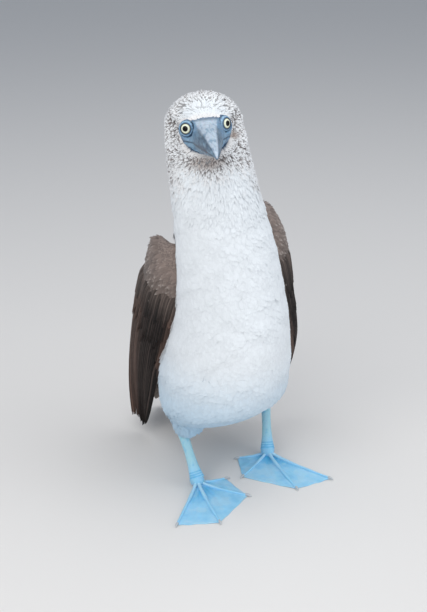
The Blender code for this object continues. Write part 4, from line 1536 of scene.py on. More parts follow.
@dataclass
class LimbRoots(Coating):
    """Roots on the core of a wing or the tail: brown feathers that lie along it."""

    ways: Array | None = None
    shares: Array | None = None
    tones: Array | None = None
    arm: Array | None = None

    def rooted(self, chosen: Array, bend: float) -> "LimbRoots":
        """The chosen roots in the bird's place, where the surface falls away by this bend."""
        roots = self.picked(chosen)
        return replace(roots, roots=roots.roots + np.array(STANCE.shift), bends=roots.bends + bend)

    def streaks(self) -> Array:
        """No white head streaks here."""
        return np.zeros(len(self.roots))

    def mantle(self) -> Array:
        """Brown all over."""
        return np.ones(len(self.roots))

    def tone(self) -> Array:
        """As light as it was told."""
        return self.tones

    def flecks(self, luck: Array) -> Array:
        """Mostly faint, with a pale tip here and there, and more of them on the arm."""
        return 0.10 + 0.9 * smooth(luck, 0.84 - 0.30 * self.arm, 0.98)

    def flow(self) -> Array:
        """Along the limb, in the plane of its surface."""
        return unit(self.ways - (self.ways * self.normals).sum(axis=1, keepdims=True) * self.normals)

    def flat_places(self) -> Array:
        """Places on an unwrap: the share along the limb and the turn round its core."""
        return 0.02 + self.shares * 0.9


@dataclass
class Wing:
    """A folded wing: tiers of vanes over a dark core, laid out by shares along it and distances across."""

    side: Side
    spine: Rows
    across_ends: Rows
    camber: float = 8.0
    covered: tuple[float, float] = (-0.044, 0.33)
    throws: int = 90000
    blade_reach: float = 1.0
    seed: int = 5
    core: Rows = (
        (-0.044, -0.0128, -0.0112, 0.0006, 0.0006),
        (-0.038, -0.0240, -0.0050, 0.0035, 0.0035),
        (-0.018, -0.0300, 0.0015, 0.0055, 0.0065),
        (0.012, -0.0320, 0.0100, 0.0070, 0.0090),
        (0.060, -0.0330, 0.0250, 0.0082, 0.0108),
        (0.110, -0.0355, 0.0365, 0.0085, 0.0115),
        (0.190, -0.0370, 0.0480, 0.0080, 0.0112),
        (0.270, -0.0370, 0.0450, 0.0072, 0.0108),
        (0.420, -0.032, 0.037, 0.0050, 0.0090),
        (0.550, -0.022, 0.028, 0.0028, 0.0080),
        (0.640, -0.012, 0.016, 0.0010, 0.0055),
    )

    def frame(self, u: Array) -> tuple[Array, Array, Array]:
        """Reads the spine; past its ends it runs on straight.

        Args:
            u: n shares along the wing.

        Returns:
            The spine's points, and the ways across and outwards there.
        """
        spine = np.array(self.spine)
        steps = np.linalg.norm(np.diff(spine, axis=0), axis=1)
        knots = np.concatenate([[0], np.cumsum(steps)]) / steps.sum()
        at = np.clip(u, 0, 1)
        nudge = 1e-3
        ahead, back = np.clip(at + nudge, 0, 1), np.clip(at - nudge, 0, 1)
        way = unit(read_curve(knots, spine, ahead) - read_curve(knots, spine, back))
        place = read_curve(knots, spine, at) + way * ((u - at) * steps.sum())[:, None]
        wrist, tip = np.array(self.across_ends)
        across = wrist + (tip - wrist) * at[:, None]
        across[:, 0] *= -self.side.value
        across = unit(across - (across * way).sum(axis=1, keepdims=True) * way)
        out = np.cross(across, way)
        return place, across, out * self.side.value * np.sign(out[:, :1])

    def point(self, u: Array, v: Array, h: Array) -> Array:
        """Places on the wing, whose middle line lies on the spine; the rest falls by camber v^2.

        Args:
            u: Share along the wing.
            v: Distance across it, which gives the shape.
            h: Height over its middle.

        Returns:
            Places of v's shape, with three numbers each.
        """
        shape = np.shape(v)
        u, v, h = (np.broadcast_to(value, shape).ravel() for value in (u, v, h))
        place, across, out = self.frame(u)
        points = place + across * v[:, None] + out * (h - self.camber * v**2)[:, None]
        return points.reshape(*shape, 3)

    def core_height(self, u: Array, v: Array) -> Array:
        """Height of the core's outer face, an arc of an oval.

        Args:
            u: Share along the wing.
            v: Distance across it.

        Returns:
            Heights of v's shape.
        """
        table = np.array(self.core)
        low, high, outer = (np.interp(u, table[:, 0], table[:, k]) for k in (1, 2, 3))
        share = np.clip((v - (low + high) / 2) / ((high - low) / 2), -1, 1)
        return outer * np.sqrt(1 - share**2)

    def core_shell(self) -> Shell:
        """The folded arm and hand as a lens-shaped loft.

        Returns:
            A closed shell with its colours.
        """
        table = resample(self.core, 40)
        turn = turns(40)
        c, s = np.cos(turn), np.sin(turn)
        u, low, high, outer, inner = (table[:, k, None] for k in range(5))
        v = (high + low) / 2 + c * (high - low) / 2
        h = s * np.where(s > 0, outer, inner)
        shell = loft(self.point(u + 0 * v, v, h)).laid()
        shares = np.concatenate([np.repeat(table[:, 0], len(turn)), table[[0, -1], 0]])
        return shell.painted(blend(MANTLE_BROWN * 0.8, WING_DARK, smooth(shares, 0.15, 0.40)))

    def ground(self, u: Array, v: Array) -> Array:
        """The wing's own brown, whatever feather is there.

        Grey-brown over the wrist and arm, it darkens along the wing to near black, with brown down the outer
        edge and a warmer brown at the inner rim.

        Args:
            u: Share along the wing.
            v: Distance across it.

        Returns:
            Colours, for each place.
        """
        low = np.interp(u, (0.0, 0.1, 0.25, 0.45, 0.7, 1.0), (-0.028, -0.036, -0.038, -0.033, -0.024, -0.010))
        high = np.interp(u, (0.0, 0.1, 0.25, 0.5, 0.75, 1.0), (0.027, 0.040, 0.046, 0.056, 0.044, 0.016))
        aside = (v - low) / (high - low)
        arm = MANTLE_BROWN * self.arm_tone(u - 0.06 * smooth(aside, 0.5, 0.9))[..., None]
        blades = blend(WING_DARK, WING_BROWN, smooth(aside, 0.38, 0.80))
        blades = blend(blades, WING_RIM, 0.8 * smooth(aside, 0.16, 0.03) * smooth(u, 0.74, 0.58))
        return blend(arm, blades, smooth(u - 0.10 * smooth(aside, 0.5, 0.9), 0.24, 0.38))

    def arm_tone(self, u: Array) -> Array:
        """How light the arm's brown is, lightest at the wrist."""
        return 1.65 - 1.05 * smooth(u, 0.03, 0.33)

    def core_point(self, u: Array, turn: Array, reach: float = 1.0) -> Array:
        """Places on the core's surface: share along the wing and turn about its middle.

        Args:
            u: n shares along the wing.
            turn: n turns about its middle.
            reach: Distance from the middle, 1 on the surface.

        Returns:
            n x 3 places.
        """
        table = np.array(self.core)
        low, high, outer, inner = read_curve(table[:, 0], table[:, 1:], u).T
        v = (high + low) / 2 + np.cos(turn) * (high - low) / 2 * reach
        return self.point(u, v, np.sin(turn) * np.where(np.sin(turn) > 0, outer, inner) * reach)

    def covering(self, draw: Draw) -> Shell:
        """Small feathers over the wrist, the arm and the wing's leading edge, smallest at the wrist's end.

        Args:
            draw: Source of chance.

        Returns:
            One shell of all of them, in the bird's place.
        """
        u, turn = draw.uniform(*self.covered, self.throws), draw.uniform(0, 2 * math.pi, self.throws)
        end = 0.25 + 0.04 * smooth(np.cos(turn), -0.2, 0.9) + 0.03 * smooth(np.cos(turn), -0.6, -0.9)
        keep = u < end + draw.normal(0, 0.012, self.throws)
        u, turn = u[keep], turn[keep]
        spots, normals = skin_of(self.core_point, u, turn)
        step = 1e-3
        ways = unit(self.point(u + step, 0 * u, 0 * u) - self.point(u - step, 0 * u, 0 * u))
        ways = ways + 0.35 * self.frame(u)[1]
        shares = np.stack([np.clip(u + 0.045, 0, 1), turn / (2 * math.pi)], axis=1)
        roots = LimbRoots(spots, normals, 0 * u, ways, shares, self.arm_tone(u), hump(u, 0.14, 0.06))
        shells = []
        for plumes, chosen, bend in ((WRIST_PLUMES, u < 0.055, 35.0), (WING_PLUMES, u >= 0.045, 4.0)):
            kept = np.flatnonzero(chosen)
            kept = kept[one_in_each(spots[kept], plumes.spacing)]
            shells.append(plumes.grow(roots.rooted(kept, bend), draw))
        return gathered(shells)

    def tier_shell(self, tier: Tier, row: int, draw: Draw) -> Shell:
        """Makes one tier's feathers.

        Each runs from its root, sunk in the core, out to the tier's level or the core's own height, whichever
        is greater, along 3t^2 - 2t^3. Across it, the vane rises to a thin shaft and its edges curl down by
        the square of their distance.

        Args:
            tier: The tier.
            row: Its number, for its flat places.
            draw: Source of chance.

        Returns:
            One shell of its feathers.
        """
        count = tier.count
        share = np.linspace(0, 1, count)[:, None]
        root = np.array(tier.first_root) * (1 - share) + np.array(tier.last_root) * share
        tip = np.array(tier.first_tip) * (1 - share) + np.array(tier.last_tip) * share
        tip = tip + draw.normal(0, 1, (count, 2)) * np.array([tier.ragged, 0.0010])
        tip[:, 0] *= self.blade_reach if tier.blade else 1.0
        t, s = GRID.t, GRID.s
        width = tier.half_width * tier.outline(t) * draw.uniform(0.86, 1.14, (count, 1))
        u = root[:, :1] + (tip[:, :1] - root[:, :1]) * t
        bow = tier.first_bow * (1 - share) + tier.last_bow * share
        v = root[:, 1:] + (tip[:, 1:] - root[:, 1:]) * t + bow * np.sin(math.pi * t)
        sunk = np.minimum(tier.level, self.core_height(root[:, 0], root[:, 1]) - 0.0022)[:, None]
        rising = tier.level + tier.step * np.arange(count)[:, None]
        level = np.maximum(rising, self.core_height(u, v) + tier.clearance)
        base = sunk + (level - sunk) * smooth(t, 0, 0.35)
        curl = 0.0007 * (tier.half_width / 0.008)
        lift = draw.normal(0, 0.00020, count)[:, None] * t**2
        high = (base + lift)[..., None] - curl * s**2 + 0.00045 * hump(s, 0.0, 0.12)
        u_grid = np.broadcast_to(u[..., None] - 0.006 * np.abs(s) * (1 - t)[:, None], high.shape)
        v_grid = v[..., None] + width[..., None] * s
        ground = self.ground(u_grid, np.broadcast_to(v[..., None], high.shape)) * tier.shade
        colours = self.vane_colours(tier, ground, t[:, None], s, draw.uniform(0, 1, (2, count, 1, 1)))
        spine = np.linalg.norm(np.diff(np.array(self.spine), axis=0), axis=1).sum()
        lie = width[..., None] * s, (u_grid - root[:, :1, None]) * spine
        strip = (0.06 if tier.blade else 0.03, 0.01 + 0.08 * row, 0.07)
        return GRID.sheets(self.point, (u_grid, v_grid, high), lie, colours, strip)

    def vane_colours(self, tier: Tier, ground: Array, t: Array, s: Array, luck: Array) -> Array:
        """Colours vanes in the ground's brown, some lighter, with a dark inner web, a pale shaft and edges.

        Args:
            tier: The tier.
            ground: The wing's own brown at each place.
            t: Share along the feather.
            s: Share across it, -1 to 1.
            luck: Two random numbers for each feather.

        Returns:
            Colours of the ground's shape.
        """
        bright, marked = luck
        colour = ground * (0.50 + 1.00 * bright**1.5)[..., None]
        inner = hump(s, -0.55, 0.30) * smooth(t, 0.05, 0.3)
        colour = colour * (1 - (0.10 + 0.45 * marked) * inner)[..., None]
        rim = np.maximum(smooth(np.abs(s), 0.55, 1.0) * smooth(t, 0.15, 0.6), smooth(t, 0.86, 0.97))
        colour = blend(colour, (ground * 1.9).clip(0, 0.5), rim * tier.fringe * (0.3 + 0.9 * bright))
        shaft = hump(s, 0.0, 0.13) * (1 - smooth(t, 0.8, 1.0))
        pale = blend(ground * 2.0, WING_STREAK, 0.35 + 0 * marked)
        return blend(colour, pale, shaft * (0.15 + 0.85 * marked * bright))

    def build(self) -> None:
        """Makes the wing as two pieces in place of its solid."""
        draw = np.random.default_rng(self.seed)
        tiers = [self.tier_shell(tier, row, draw) for row, tier in enumerate(TIERS)]
        build_limb(f"wing_{self.side.word}", [self.core_shell(), *tiers], self.covering(draw))


WRIST_PLUMES = Plumes(
    "wrist", Slot.BROWN, 0.0019, 0.0058, 0.0014, 0.0008, POINTED,
    stray=0.06, sink=0.0004, thickness=0.0002, arch=0.2,
)
WING_PLUMES = Plumes(
    "coverts", Slot.BROWN, 0.0034, 0.0160, 0.0025, 0.0016, POINTED,
    stray=0.08, sink=0.0004, thickness=0.0003, arch=0.22, unevenness=0.25,
)
TIERS = (
    Tier(
        "primary", 11, (0.50, -0.020), (0.50, 0.012), (1.01, -0.006), (0.985, 0.008), 0.0060, -0.0056, 0.0006,
        shade=0.5, fringe=0.2, blade=True,
    ),
    Tier(
        "secondary", 24, (0.34, -0.022), (0.19, 0.030), (0.98, -0.007), (0.975, 0.014), 0.0038, 0.0004,
        0.00032, shade=1.0, fringe=0.5, ragged=0.010, blade=True, first_bow=0.003, last_bow=0.034,
    ),
    Tier(
        "inner primary covert", 7, (0.24, -0.034), (0.24, -0.014), (0.66, -0.026), (0.56, -0.012), 0.0036,
        0.0014, 0.0002, shade=1.0, fringe=0.4, ragged=0.03, blade=True, clearance=0.0008,
    ),
    Tier(
        "long covert", 28, (0.14, -0.033), (0.20, 0.032), (0.49, -0.029), (0.50, 0.053), 0.0034, 0.0016,
        0.0003, shade=1.0, fringe=0.4, ragged=0.035, blade=True, last_bow=0.004, clearance=0.0014,
    ),
    Tier(
        "greater covert", 26, (0.14, -0.033), (0.24, 0.037), (0.34, -0.031), (0.44, 0.052), 0.0036, 0.0024,
        0.00032, shade=1.0, fringe=0.5, ragged=0.025, last_bow=0.003, clearance=0.0022,
    ),
)
RIGHT_SPINE = (
    (-0.0762, -0.038, 0.299),
    (-0.0815, -0.006, 0.262),
    (-0.0869, 0.030, 0.203),
    (-0.0908, 0.074, 0.124),
    (-0.0892, 0.126, 0.018),
)
LEFT_SPINE = (
    (0.0220, -0.030, 0.336),
    (0.0520, -0.002, 0.288),
    (0.0730, 0.024, 0.218),
    (0.0945, 0.066, 0.136),
    (0.0860, 0.126, 0.032),
)
WINGS = (
    Wing(Side.RIGHT, RIGHT_SPINE, ((-0.38, 0.80, 0.46), (-0.45, 0.78, 0.42)), seed=5),
    Wing(Side.LEFT, LEFT_SPINE, ((-0.30, 0.83, 0.50), (-0.10, 0.85, 0.50)), blade_reach=0.95, seed=6),
)


# Tail


@dataclass
class Tail:
    """A fan of long blades over a stub, laid out by share along, distance to the left and height."""

    root: Place = (-0.024, 0.102, 0.106)
    tip: Place = (-0.056, 0.200, 0.0135)
    roll_degrees: float = -7.0
    bend: float = 0.006
    ranks: int = 6
    start: float = 0.16
    half_width: float = 0.0088
    grid: VaneGrid = VaneGrid(18)
    covered: tuple[float, float] = (-0.10, 0.50)
    throws: int = 30000
    seed: int = 9
    core: Rows = (
        (-0.12, 0.020, 0.013),
        (0.10, 0.027, 0.010),
        (0.30, 0.026, 0.007),
        (0.45, 0.021, 0.004),
        (0.52, 0.013, 0.002),
    )

    def point(self, along: Array, aside: Array, height: Array) -> Array:
        """Places on the tail, whose middle rises by 4 bend t (1 - t).

        Args:
            along: Share along the tail.
            aside: Distance to its left.
            height: Height over its middle.

        Returns:
            Places of their common shape, with three numbers each.
        """
        root, tip = np.array(self.root), np.array(self.tip)
        way = unit(tip - root)
        roll = math.radians(self.roll_degrees)
        left = np.array([math.cos(roll), 0.0, -math.sin(roll)])
        left = unit(left - way * (left @ way))
        up = np.cross(left, way)
        up = up * np.sign(up[2])
        along, aside, height = (np.asarray(value, float)[..., None] for value in (along, aside, height))
        reach = np.linalg.norm(tip - root)
        return root + way * along * reach + left * aside + up * (height + 4 * self.bend * along * (1 - along))

    def core_shell(self) -> Shell:
        """The stub.

        Returns:
            A closed shell with its colour.
        """
        table = resample(self.core, 24)
        turn = turns(36)
        share, width, thick = (table[:, k, None] for k in range(3))
        rings = self.point(share + 0 * turn, np.cos(turn) * width, np.sin(turn) * thick)
        return loft(rings).painted(TAIL_BROWN * 0.5).laid()

    def fan(self, draw: Draw) -> Shell:
        """Makes the long feathers: the middle pair longest and on top, the others shorter and lower.

        Args:
            draw: Source of chance.

        Returns:
            One shell of all of them.
        """
        rank = np.repeat(np.arange(self.ranks), 2)
        side = np.tile([-1, 1], self.ranks)
        count = len(rank)
        end = (1.0 - 0.055 * rank)[:, None]
        t, s = self.grid.t, self.grid.s
        along = self.start + (end - self.start) * t
        middle = ((rank + 0.5) * side)[:, None] * (0.0036 + 0.0028 * t)
        shares, widths = np.array(BLADE).T
        width = self.half_width * read_curve(shares, widths[:, None], t)[:, 0]
        level = (-0.0011 * rank + 0.0011 * ((rank == 0) & (side > 0)))[:, None, None]
        high = level - 0.0008 * s**2 + 0.0005 * hump(s, 0.0, 0.10) + 0 * t[:, None]
        aside = middle[..., None] + width[:, None] * s
        along = np.broadcast_to(along[..., None], aside.shape)
        luck = draw.uniform(0, 1, count)[:, None, None]
        pale = np.exp(-rank / 1.5)[:, None, None]
        ground = blend(TAIL_BROWN, TAIL_PALE, pale * 0.5 + 0 * luck) * (0.85 + 0.3 * luck)[..., None]
        rim = smooth(np.abs(s), 0.5, 1.0) * 0.4 + smooth(t[:, None], 0.8, 1.0) * 0.4
        colours = blend(ground, TAIL_PALE, rim + 0 * luck)
        lie = width[:, None] * s, along * 0.14
        return self.grid.sheets(self.point, (along, aside, high), lie, colours, (0.07, 0.80, 0.15))

    def covering(self, draw: Draw) -> Shell:
        """Feathers over the stub, on both faces, that hide where the long ones begin.

        Args:
            draw: Source of chance.

        Returns:
            One shell of all of them, in the bird's place.
        """
        share, turn = draw.uniform(*self.covered, self.throws), draw.uniform(0, 2 * math.pi, self.throws)
        table = np.array(self.core)

        def surface(at: Array, angle: Array, reach: float = 1.0) -> Array:
            """Places on the stub for shares along, turns about its middle and a reach from it."""
            width, thick = read_curve(table[:, 0], table[:, 1:], at).T
            return self.point(at, np.cos(angle) * width * reach, np.sin(angle) * thick * reach)

        spots, normals = skin_of(surface, share, turn)
        ways = np.tile(unit(np.array(self.tip) - np.array(self.root)), (self.throws, 1))
        shares = np.stack([share + 0.12, turn / (2 * math.pi)], axis=1)
        tones = 1.6 - 0.6 * smooth(share, 0.0, 0.4)
        roots = LimbRoots(spots, normals, 0 * share, ways, shares, tones, 0 * share)
        return TAIL_PLUMES.grow(roots.rooted(one_in_each(spots, TAIL_PLUMES.spacing), 2.0), draw)

    def build(self) -> None:
        """Makes the tail as two pieces in place of its solid."""
        draw = np.random.default_rng(self.seed)
        build_limb("tail", [self.core_shell(), self.fan(draw)], self.covering(draw))


TAIL_PLUMES = Plumes(
    "tail coverts", Slot.TAIL, 0.0050, 0.0280, 0.0052, 0.0016, ROUNDED,
    stray=0.08, sink=0.0004, thickness=0.0002,
)


# Head


@dataclass
class Eye:
    """An eyeball and its lids, in the head's axes."""

    side: Side
    turn_degrees: float
    up: float
    ahead: float = 0.0252
    aside: float = 0.0166
    radius: float = 0.0078
    lift: float = 0.0
    pupil: float = 0.0029
    behind: float = -0.004
    # distance from the line of sight, and how far ahead of the eyeball's middle the face's skin may reach
    socket: Rows = (
        (0.0, -0.004),
        (0.0070, -0.004),
        (0.0078, 0.0005),
        (0.0084, 0.0028),
        (0.0096, 0.0058),
        (0.0150, 0.0300),
    )
    # how far ahead of the eyeball's middle, and distance from the line of sight, of the lid's section
    lid: Rows = (
        (0.0050, 0.0048),
        (0.0060, 0.0049),
        (0.0065, 0.0053),
        (0.0064, 0.0058),
        (0.0058, 0.0063),
        (0.0055, 0.0069),
        (0.0047, 0.0076),
        (0.0028, 0.0084),
        (0.0002, 0.0088),
        (-0.0024, 0.0087),
        (-0.0060, 0.0084),
    )

    def axes(self) -> Array:
        """From the eye's own axes, looking along +Z, to the head's.

        Returns:
            A 4 x 4 matrix.
        """
        turn = math.radians(self.turn_degrees)
        look = Vector((self.side.value * math.sin(turn), -math.cos(turn), self.lift)).normalized()
        matrix = look.to_track_quat("Z", "Y").to_matrix().to_4x4()
        matrix.translation = Vector((self.side.value * self.aside, -self.ahead, self.up))
        return np.array(matrix)

    def seen(self, points: Array) -> tuple[Array, Array]:
        """Points of the head in the eye's own axes, and how far they lie from its line of sight."""
        local = carried(points, np.linalg.inv(self.axes()))
        return local, np.hypot(local[:, 0], local[:, 1])

    def ball(self) -> Shell:
        """The eyeball, its colour by the distance from the line of sight: pupil, iris and its dark rim.

        Returns:
            A closed shell with its colours.
        """
        shell = ball(self.radius, 72, 72, 0.01)
        x, y, z = shell.points.T
        away = np.hypot(x, y)
        spokes = 0.5 + 0.5 * np.sin(np.arctan2(y, x) * 30.0)
        colour = blend(IRIS, IRIS_SPOKE, spokes * 0.5 * smooth(away, 0.0026, 0.0042))
        colour = blend(colour, IRIS_RIM, smooth(away, 0.0042, 0.0048))
        colour = blend(PUPIL, colour, smooth(away, self.pupil - 0.0002, self.pupil + 0.0002))
        return shell.painted(np.where(z[:, None] < 0, EYE_BACK, colour))

    def lids(self) -> Shell:
        """A bare ring turned about the line of sight, with a dark wet margin and fine folds.

        Returns:
            A closed shell with its colours.
        """
        ahead, far = resample(self.lid, 30).T[:, :, None]
        turn = turns(96)
        folds = 0.00012 * np.sin(turn * 22.0) * smooth(far, 0.0056, 0.0080)
        rings = revolved(far, ahead + folds, len(turn))
        inner = rings[:1] * np.array([0.9, 0.9, 0.6])
        shell = loft(np.concatenate([inner, rings]))
        x, y, z = shell.points.T
        away = np.hypot(x, y)
        patchy = 0.5 + 0.5 * np.sin(np.arctan2(y, x) * 13.0 + 900 * away)
        colour = blend(FACE_LINE * 0.5, FACE_DEEP * 0.8, smooth(away, 0.0051, 0.0057))
        colour = blend(colour, FACE_BLUE * 1.10, smooth(away, 0.0060, 0.0068) * (0.7 + 0.3 * patchy))
        front = smooth(z, 0.0005, 0.0030)
        colour = blend(colour, blend(FACE_DEEP * 1.1, FACE_DEEP * 0.50, front), smooth(away, 0.0073, 0.0085))
        return shell.painted(colour)

    def build(self) -> None:
        """Makes the eyeball in place of its solid."""
        matrix = STANCE.matrix() @ HEAD_AXES.matrix() @ self.axes()
        name = f"eye_{self.side.word}"
        piece = make_piece(f"{name}_ball", self.ball().moved(matrix))
        finish_piece(piece, WET_EYE.material(), (name,))


@dataclass
class Face:
    """The bare skin between the bill and the feathers, with lids, gape and folds, in the head's axes."""

    eyes: dict[Side, Eye]
    gape_corner: tuple[float, float] = (0.0200, -0.0100)
    gape_front: tuple[float, float] = (0.0463, -0.0110)

    def gape_distance(self, points: Array) -> Array:
        """How far above the mouth line points lie; the line runs from the gape's corner to the bill."""
        (corner, low), (front, high) = self.gape_corner, self.gape_front
        return points[:, 2] - (low + (high - low) * (-points[:, 1] - corner) / (front - corner))

    def skin(self) -> Shell:
        """Makes the skin: an oval loft pressed in along the mouth line and before the eyes, with folds below.

        Returns:
            A closed shell with its colours.
        """
        table = resample(MASK.form, 110)
        shell = loft(oval_rings(table[:, :1] * AHEAD, ASIDE, UP, table[:, 1:], 160))
        points = shell.points
        ahead, height = -points[:, 1], points[:, 2]
        out = unit(points * np.array([1.0, 0.0, 1.0]) - np.array([0.0, 0.0, -0.005]))
        gape = self.gape_distance(points)
        aside = smooth(np.abs(points[:, 0]), 0.004, 0.010)
        mouth = aside * smooth(ahead, 0.019, 0.023)
        on_line = hump(gape, 0.0, 0.0007) * mouth
        lips = (hump(gape, 0.0019, 0.0012) + hump(gape, -0.0019, 0.0012)) * mouth
        hollow = hump(height, 0.006, 0.005) * smooth(ahead, 0.031, 0.038) * aside
        folds = np.sin(gape * 1500.0 + 40 * ahead) * aside
        folds = folds * smooth(gape, -0.004, -0.008) * smooth(ahead, 0.040, 0.034)
        chin = smooth(gape, 0.0, -0.003) * smooth(ahead, 0.035, 0.041)
        away = self.eye_distance(points)
        wrinkles = np.sin(away * 3200.0) * smooth(away, 0.0150, 0.0100)
        shift = 0.00035 * folds - 0.0016 * chin - 0.0011 * on_line + 0.0003 * lips - 0.0012 * hollow
        shift = shift + 0.0010 * smooth(away, 0.0130, 0.0092) + 0.00018 * wrinkles
        shell.points = self.socketed(points + out * shift[:, None])
        return shell.painted(self.colours(points, on_line))

    def eye_distance(self, points: Array) -> Array:
        """How far points lie from the nearer eye's line of sight; far where they are behind or beyond it.

        Args:
            points: n x 3 points in the head's axes.

        Returns:
            n distances.
        """
        found = []
        for eye in self.eyes.values():
            local, away = eye.seen(points)
            away = away + 0.02 * smooth(local[:, 2], 0.0065, 0.0100)
            found.append(np.where(local[:, 2] > eye.behind, away, 1.0))
        return np.minimum(*found)

    def socketed(self, points: Array) -> Array:
        """Hollows a cone out before each eye, so that the skin covers neither the ball nor its view.

        Args:
            points: n x 3 points of the skin in the head's axes.

        Returns:
            The points, those inside a cone pushed back to it.
        """
        for eye in self.eyes.values():
            local, away = eye.seen(points)
            cap = np.interp(away, *np.array(eye.socket).T)
            local[:, 2] -= np.where(local[:, 2] > eye.behind, np.maximum(local[:, 2] - cap, 0.0), 0.0)
            points = carried(local, eye.axes())
        return points

    def colours(self, points: Array, on_line: Array) -> Array:
        """Slate blue, deeper round the eyes and at the feathers, with a pale ridge, painted shade in a band
        between the ridge and each eye, and a dark mouth line.

        Args:
            points: n x 3 points in the head's axes.
            on_line: How near to the mouth line each lies, 0 to 1.

        Returns:
            n colours.
        """
        ahead, across, height = -points[:, 1], np.abs(points[:, 0]), points[:, 2]
        colour = blend(FACE_DEEP * 1.1, FACE_BLUE, smooth(ahead, 0.020, 0.040) * 0.8 + 0.2)
        colour = blend(colour, FACE_BLUE * 0.95, 0.7 * smooth(height, -0.008, -0.016))
        patchy = mottle(points, (0.0028, 0.0050, 0.0028), 3)
        colour = blend(colour, FACE_DEEP * 0.70, 0.55 * smooth(patchy, 0.0, 0.9))
        colour = blend(colour, FACE_BLUE * 1.1, 0.35 * smooth(patchy, -0.2, -0.9))
        # painted shade: a dark band between the bill's ridge and each eye
        beside = hump(across, 0.0135, 0.0030) * smooth(height, -0.004, 0.002) * smooth(ahead, 0.028, 0.036)
        colour = blend(colour, FACE_DEEP * 0.70, beside * 0.7)
        ridge = smooth(across, 0.0125, 0.0095) * smooth(height, 0.001, 0.005) * smooth(ahead, 0.022, 0.038)
        colour = blend(colour, BILL_PALE * (0.90 - 0.14 * patchy[:, None]).clip(0.6, 1.0), ridge * 0.9)
        colour = blend(colour, BILL_ROOT, 0.85 * smooth(ahead, 0.030, 0.044) * (1 - ridge))
        rim = smooth(-MASK.inside(points), -0.0032, -0.0012)
        colour = blend(colour, FACE_DEEP * 0.55, rim * 0.7)
        return blend(colour, FACE_LINE, on_line * 0.85)

    def build(self) -> None:
        """Makes the face in place of its solid."""
        shells = [self.skin()]
        shells += [eye.lids().moved(eye.axes()) for eye in self.eyes.values()]
        matrix = STANCE.matrix() @ HEAD_AXES.matrix()
        piece = make_piece("face_skin", gathered(shells).moved(matrix))
        finish_piece(piece, BARE_SKIN.material(), ("face",))


@dataclass
class Bill:
    """Upper and lower bill, in the head's axes: arched outwards, flat along the mouth."""

    start: float = 0.0463
    length: float = 0.098
    fullness: float = 0.8
    # share along, half width, height of the arch, height at the mouth
    upper: Rows = (
        (-0.20, 0.0150, 0.0116, -0.0102),
        (-0.10, 0.0150, 0.0104, -0.0107),
        (0.0, 0.0144, 0.0090, -0.0110),
        (0.20, 0.0122, 0.0067, -0.0106),
        (0.45, 0.0094, 0.0037, -0.0098),
        (0.70, 0.0064, 0.0001, -0.0092),
        (0.88, 0.0040, -0.0034, -0.0092),
        (0.96, 0.0024, -0.0064, -0.0098),
        (1.0, 0.0007, -0.0098, -0.0116),
    )
    lower: Rows = (
        (-0.10, 0.0140, -0.0224, -0.0112),
        (0.0, 0.0134, -0.0220, -0.0112),
        (0.20, 0.0114, -0.0199, -0.0107),
        (0.45, 0.0086, -0.0169, -0.0099),
        (0.70, 0.0056, -0.0139, -0.0093),
        (0.86, 0.0030, -0.0117, -0.0094),
        (0.93, 0.0012, -0.0107, -0.0098),
    )
    groove_turn: float = 0.72

    def half(self, rows: Rows, ridged: bool) -> Shell:
        """One half of the bill: ring point = (cos a width, mouth + sin a ^ fullness (arch - mouth)).

        Args:
            rows: Its sections.
            ridged: Whether two grooves part a ridge from its flanks.

        Returns:
            A closed shell with its colours.
        """
        table = resample(rows, 120)
        share, width, arch, mouth = (table[:, k, None] for k in range(4))
        turn = np.linspace(0, math.pi, 73)
        from_edge = np.minimum(turn, math.pi - turn)
        groove = hump(from_edge, self.groove_turn, 0.11) * ridged
        groove = groove * smooth(share, -0.02, 0.10) * smooth(share, 0.95, 0.80)
        x = np.cos(turn) * width * (1 - 0.055 * groove)
        z = mouth + np.sin(turn) ** self.fullness * (arch - mouth) * (1 - 0.035 * groove)
        y = -(self.start + share * self.length)
        arc = np.stack(np.broadcast_arrays(x, y, z), axis=-1)
        floor = np.linspace(1, -1, 13)[1:-1]
        flat = np.stack(np.broadcast_arrays(-floor * width, y, mouth), axis=-1)
        shell = loft(np.concatenate([arc, flat], axis=1))

        def whole(above: Array, below: float | Array) -> Array:
            """Values on the arch and on the floor below it, and after them the mean at each end."""
            grid = np.concatenate([above + 0 * share, below + 0 * share + 0 * floor], axis=1)
            return np.concatenate([grid.ravel(), [grid[0].mean(), grid[-1].mean()]])

        streaky = mottle(shell.points, (0.0020, 0.0120, 0.0020), 4)
        streaky = streaky + 0.6 * mottle(shell.points, (0.0050, 0.0100, 0.0050), 5)
        colour = blend(BILL_GREY, FACE_DEEP * 0.62, 0.85 * smooth(streaky, 0.0, 0.9))
        colour = blend(colour, FACE_BLUE, 0.6 * smooth(streaky, -0.2, -1.0))
        pale = blend(BILL_PALE, FACE_BLUE * 0.85, 0.85 * smooth(streaky, 0.0, 1.1))
        colour = blend(colour, BILL_ROOT, 0.85 * smooth(whole(share + 0 * turn, share), 0.30, 0.0))
        colour = blend(colour, pale, whole(smooth(from_edge, 0.58, 1.08), 0.0) * ridged)
        # painted shade in the two grooves between ridge and flanks
        colour = blend(colour, BILL_SEAM_AND_GROOVE_SHADE, whole(groove, 0.0) * 0.45)
        colour = blend(colour, BILL_SEAM_AND_GROOVE_SHADE * 0.7, whole(smooth(from_edge, 0.10, 0.0), 1.0) * 0.8)
        return shell.painted(colour)

    def build(self) -> None:
        """Makes both halves in place of their solids."""
        matrix = STANCE.matrix() @ HEAD_AXES.matrix()
        material = HORN.material()
        for name, rows, ridged in (("maxilla", self.upper, True), ("mandible", self.lower, False)):
            piece = make_piece(f"{name}_horn", self.half(rows, ridged).moved(matrix), sharp_degrees=60)
            finish_piece(piece, material, (name,))


# Legs


@dataclass(frozen=True)
class Toe:
    """A toe's angle from the middle toe towards the inner side, its length and its half width at the root."""

    angle_degrees: float
    length: float
    radius: float


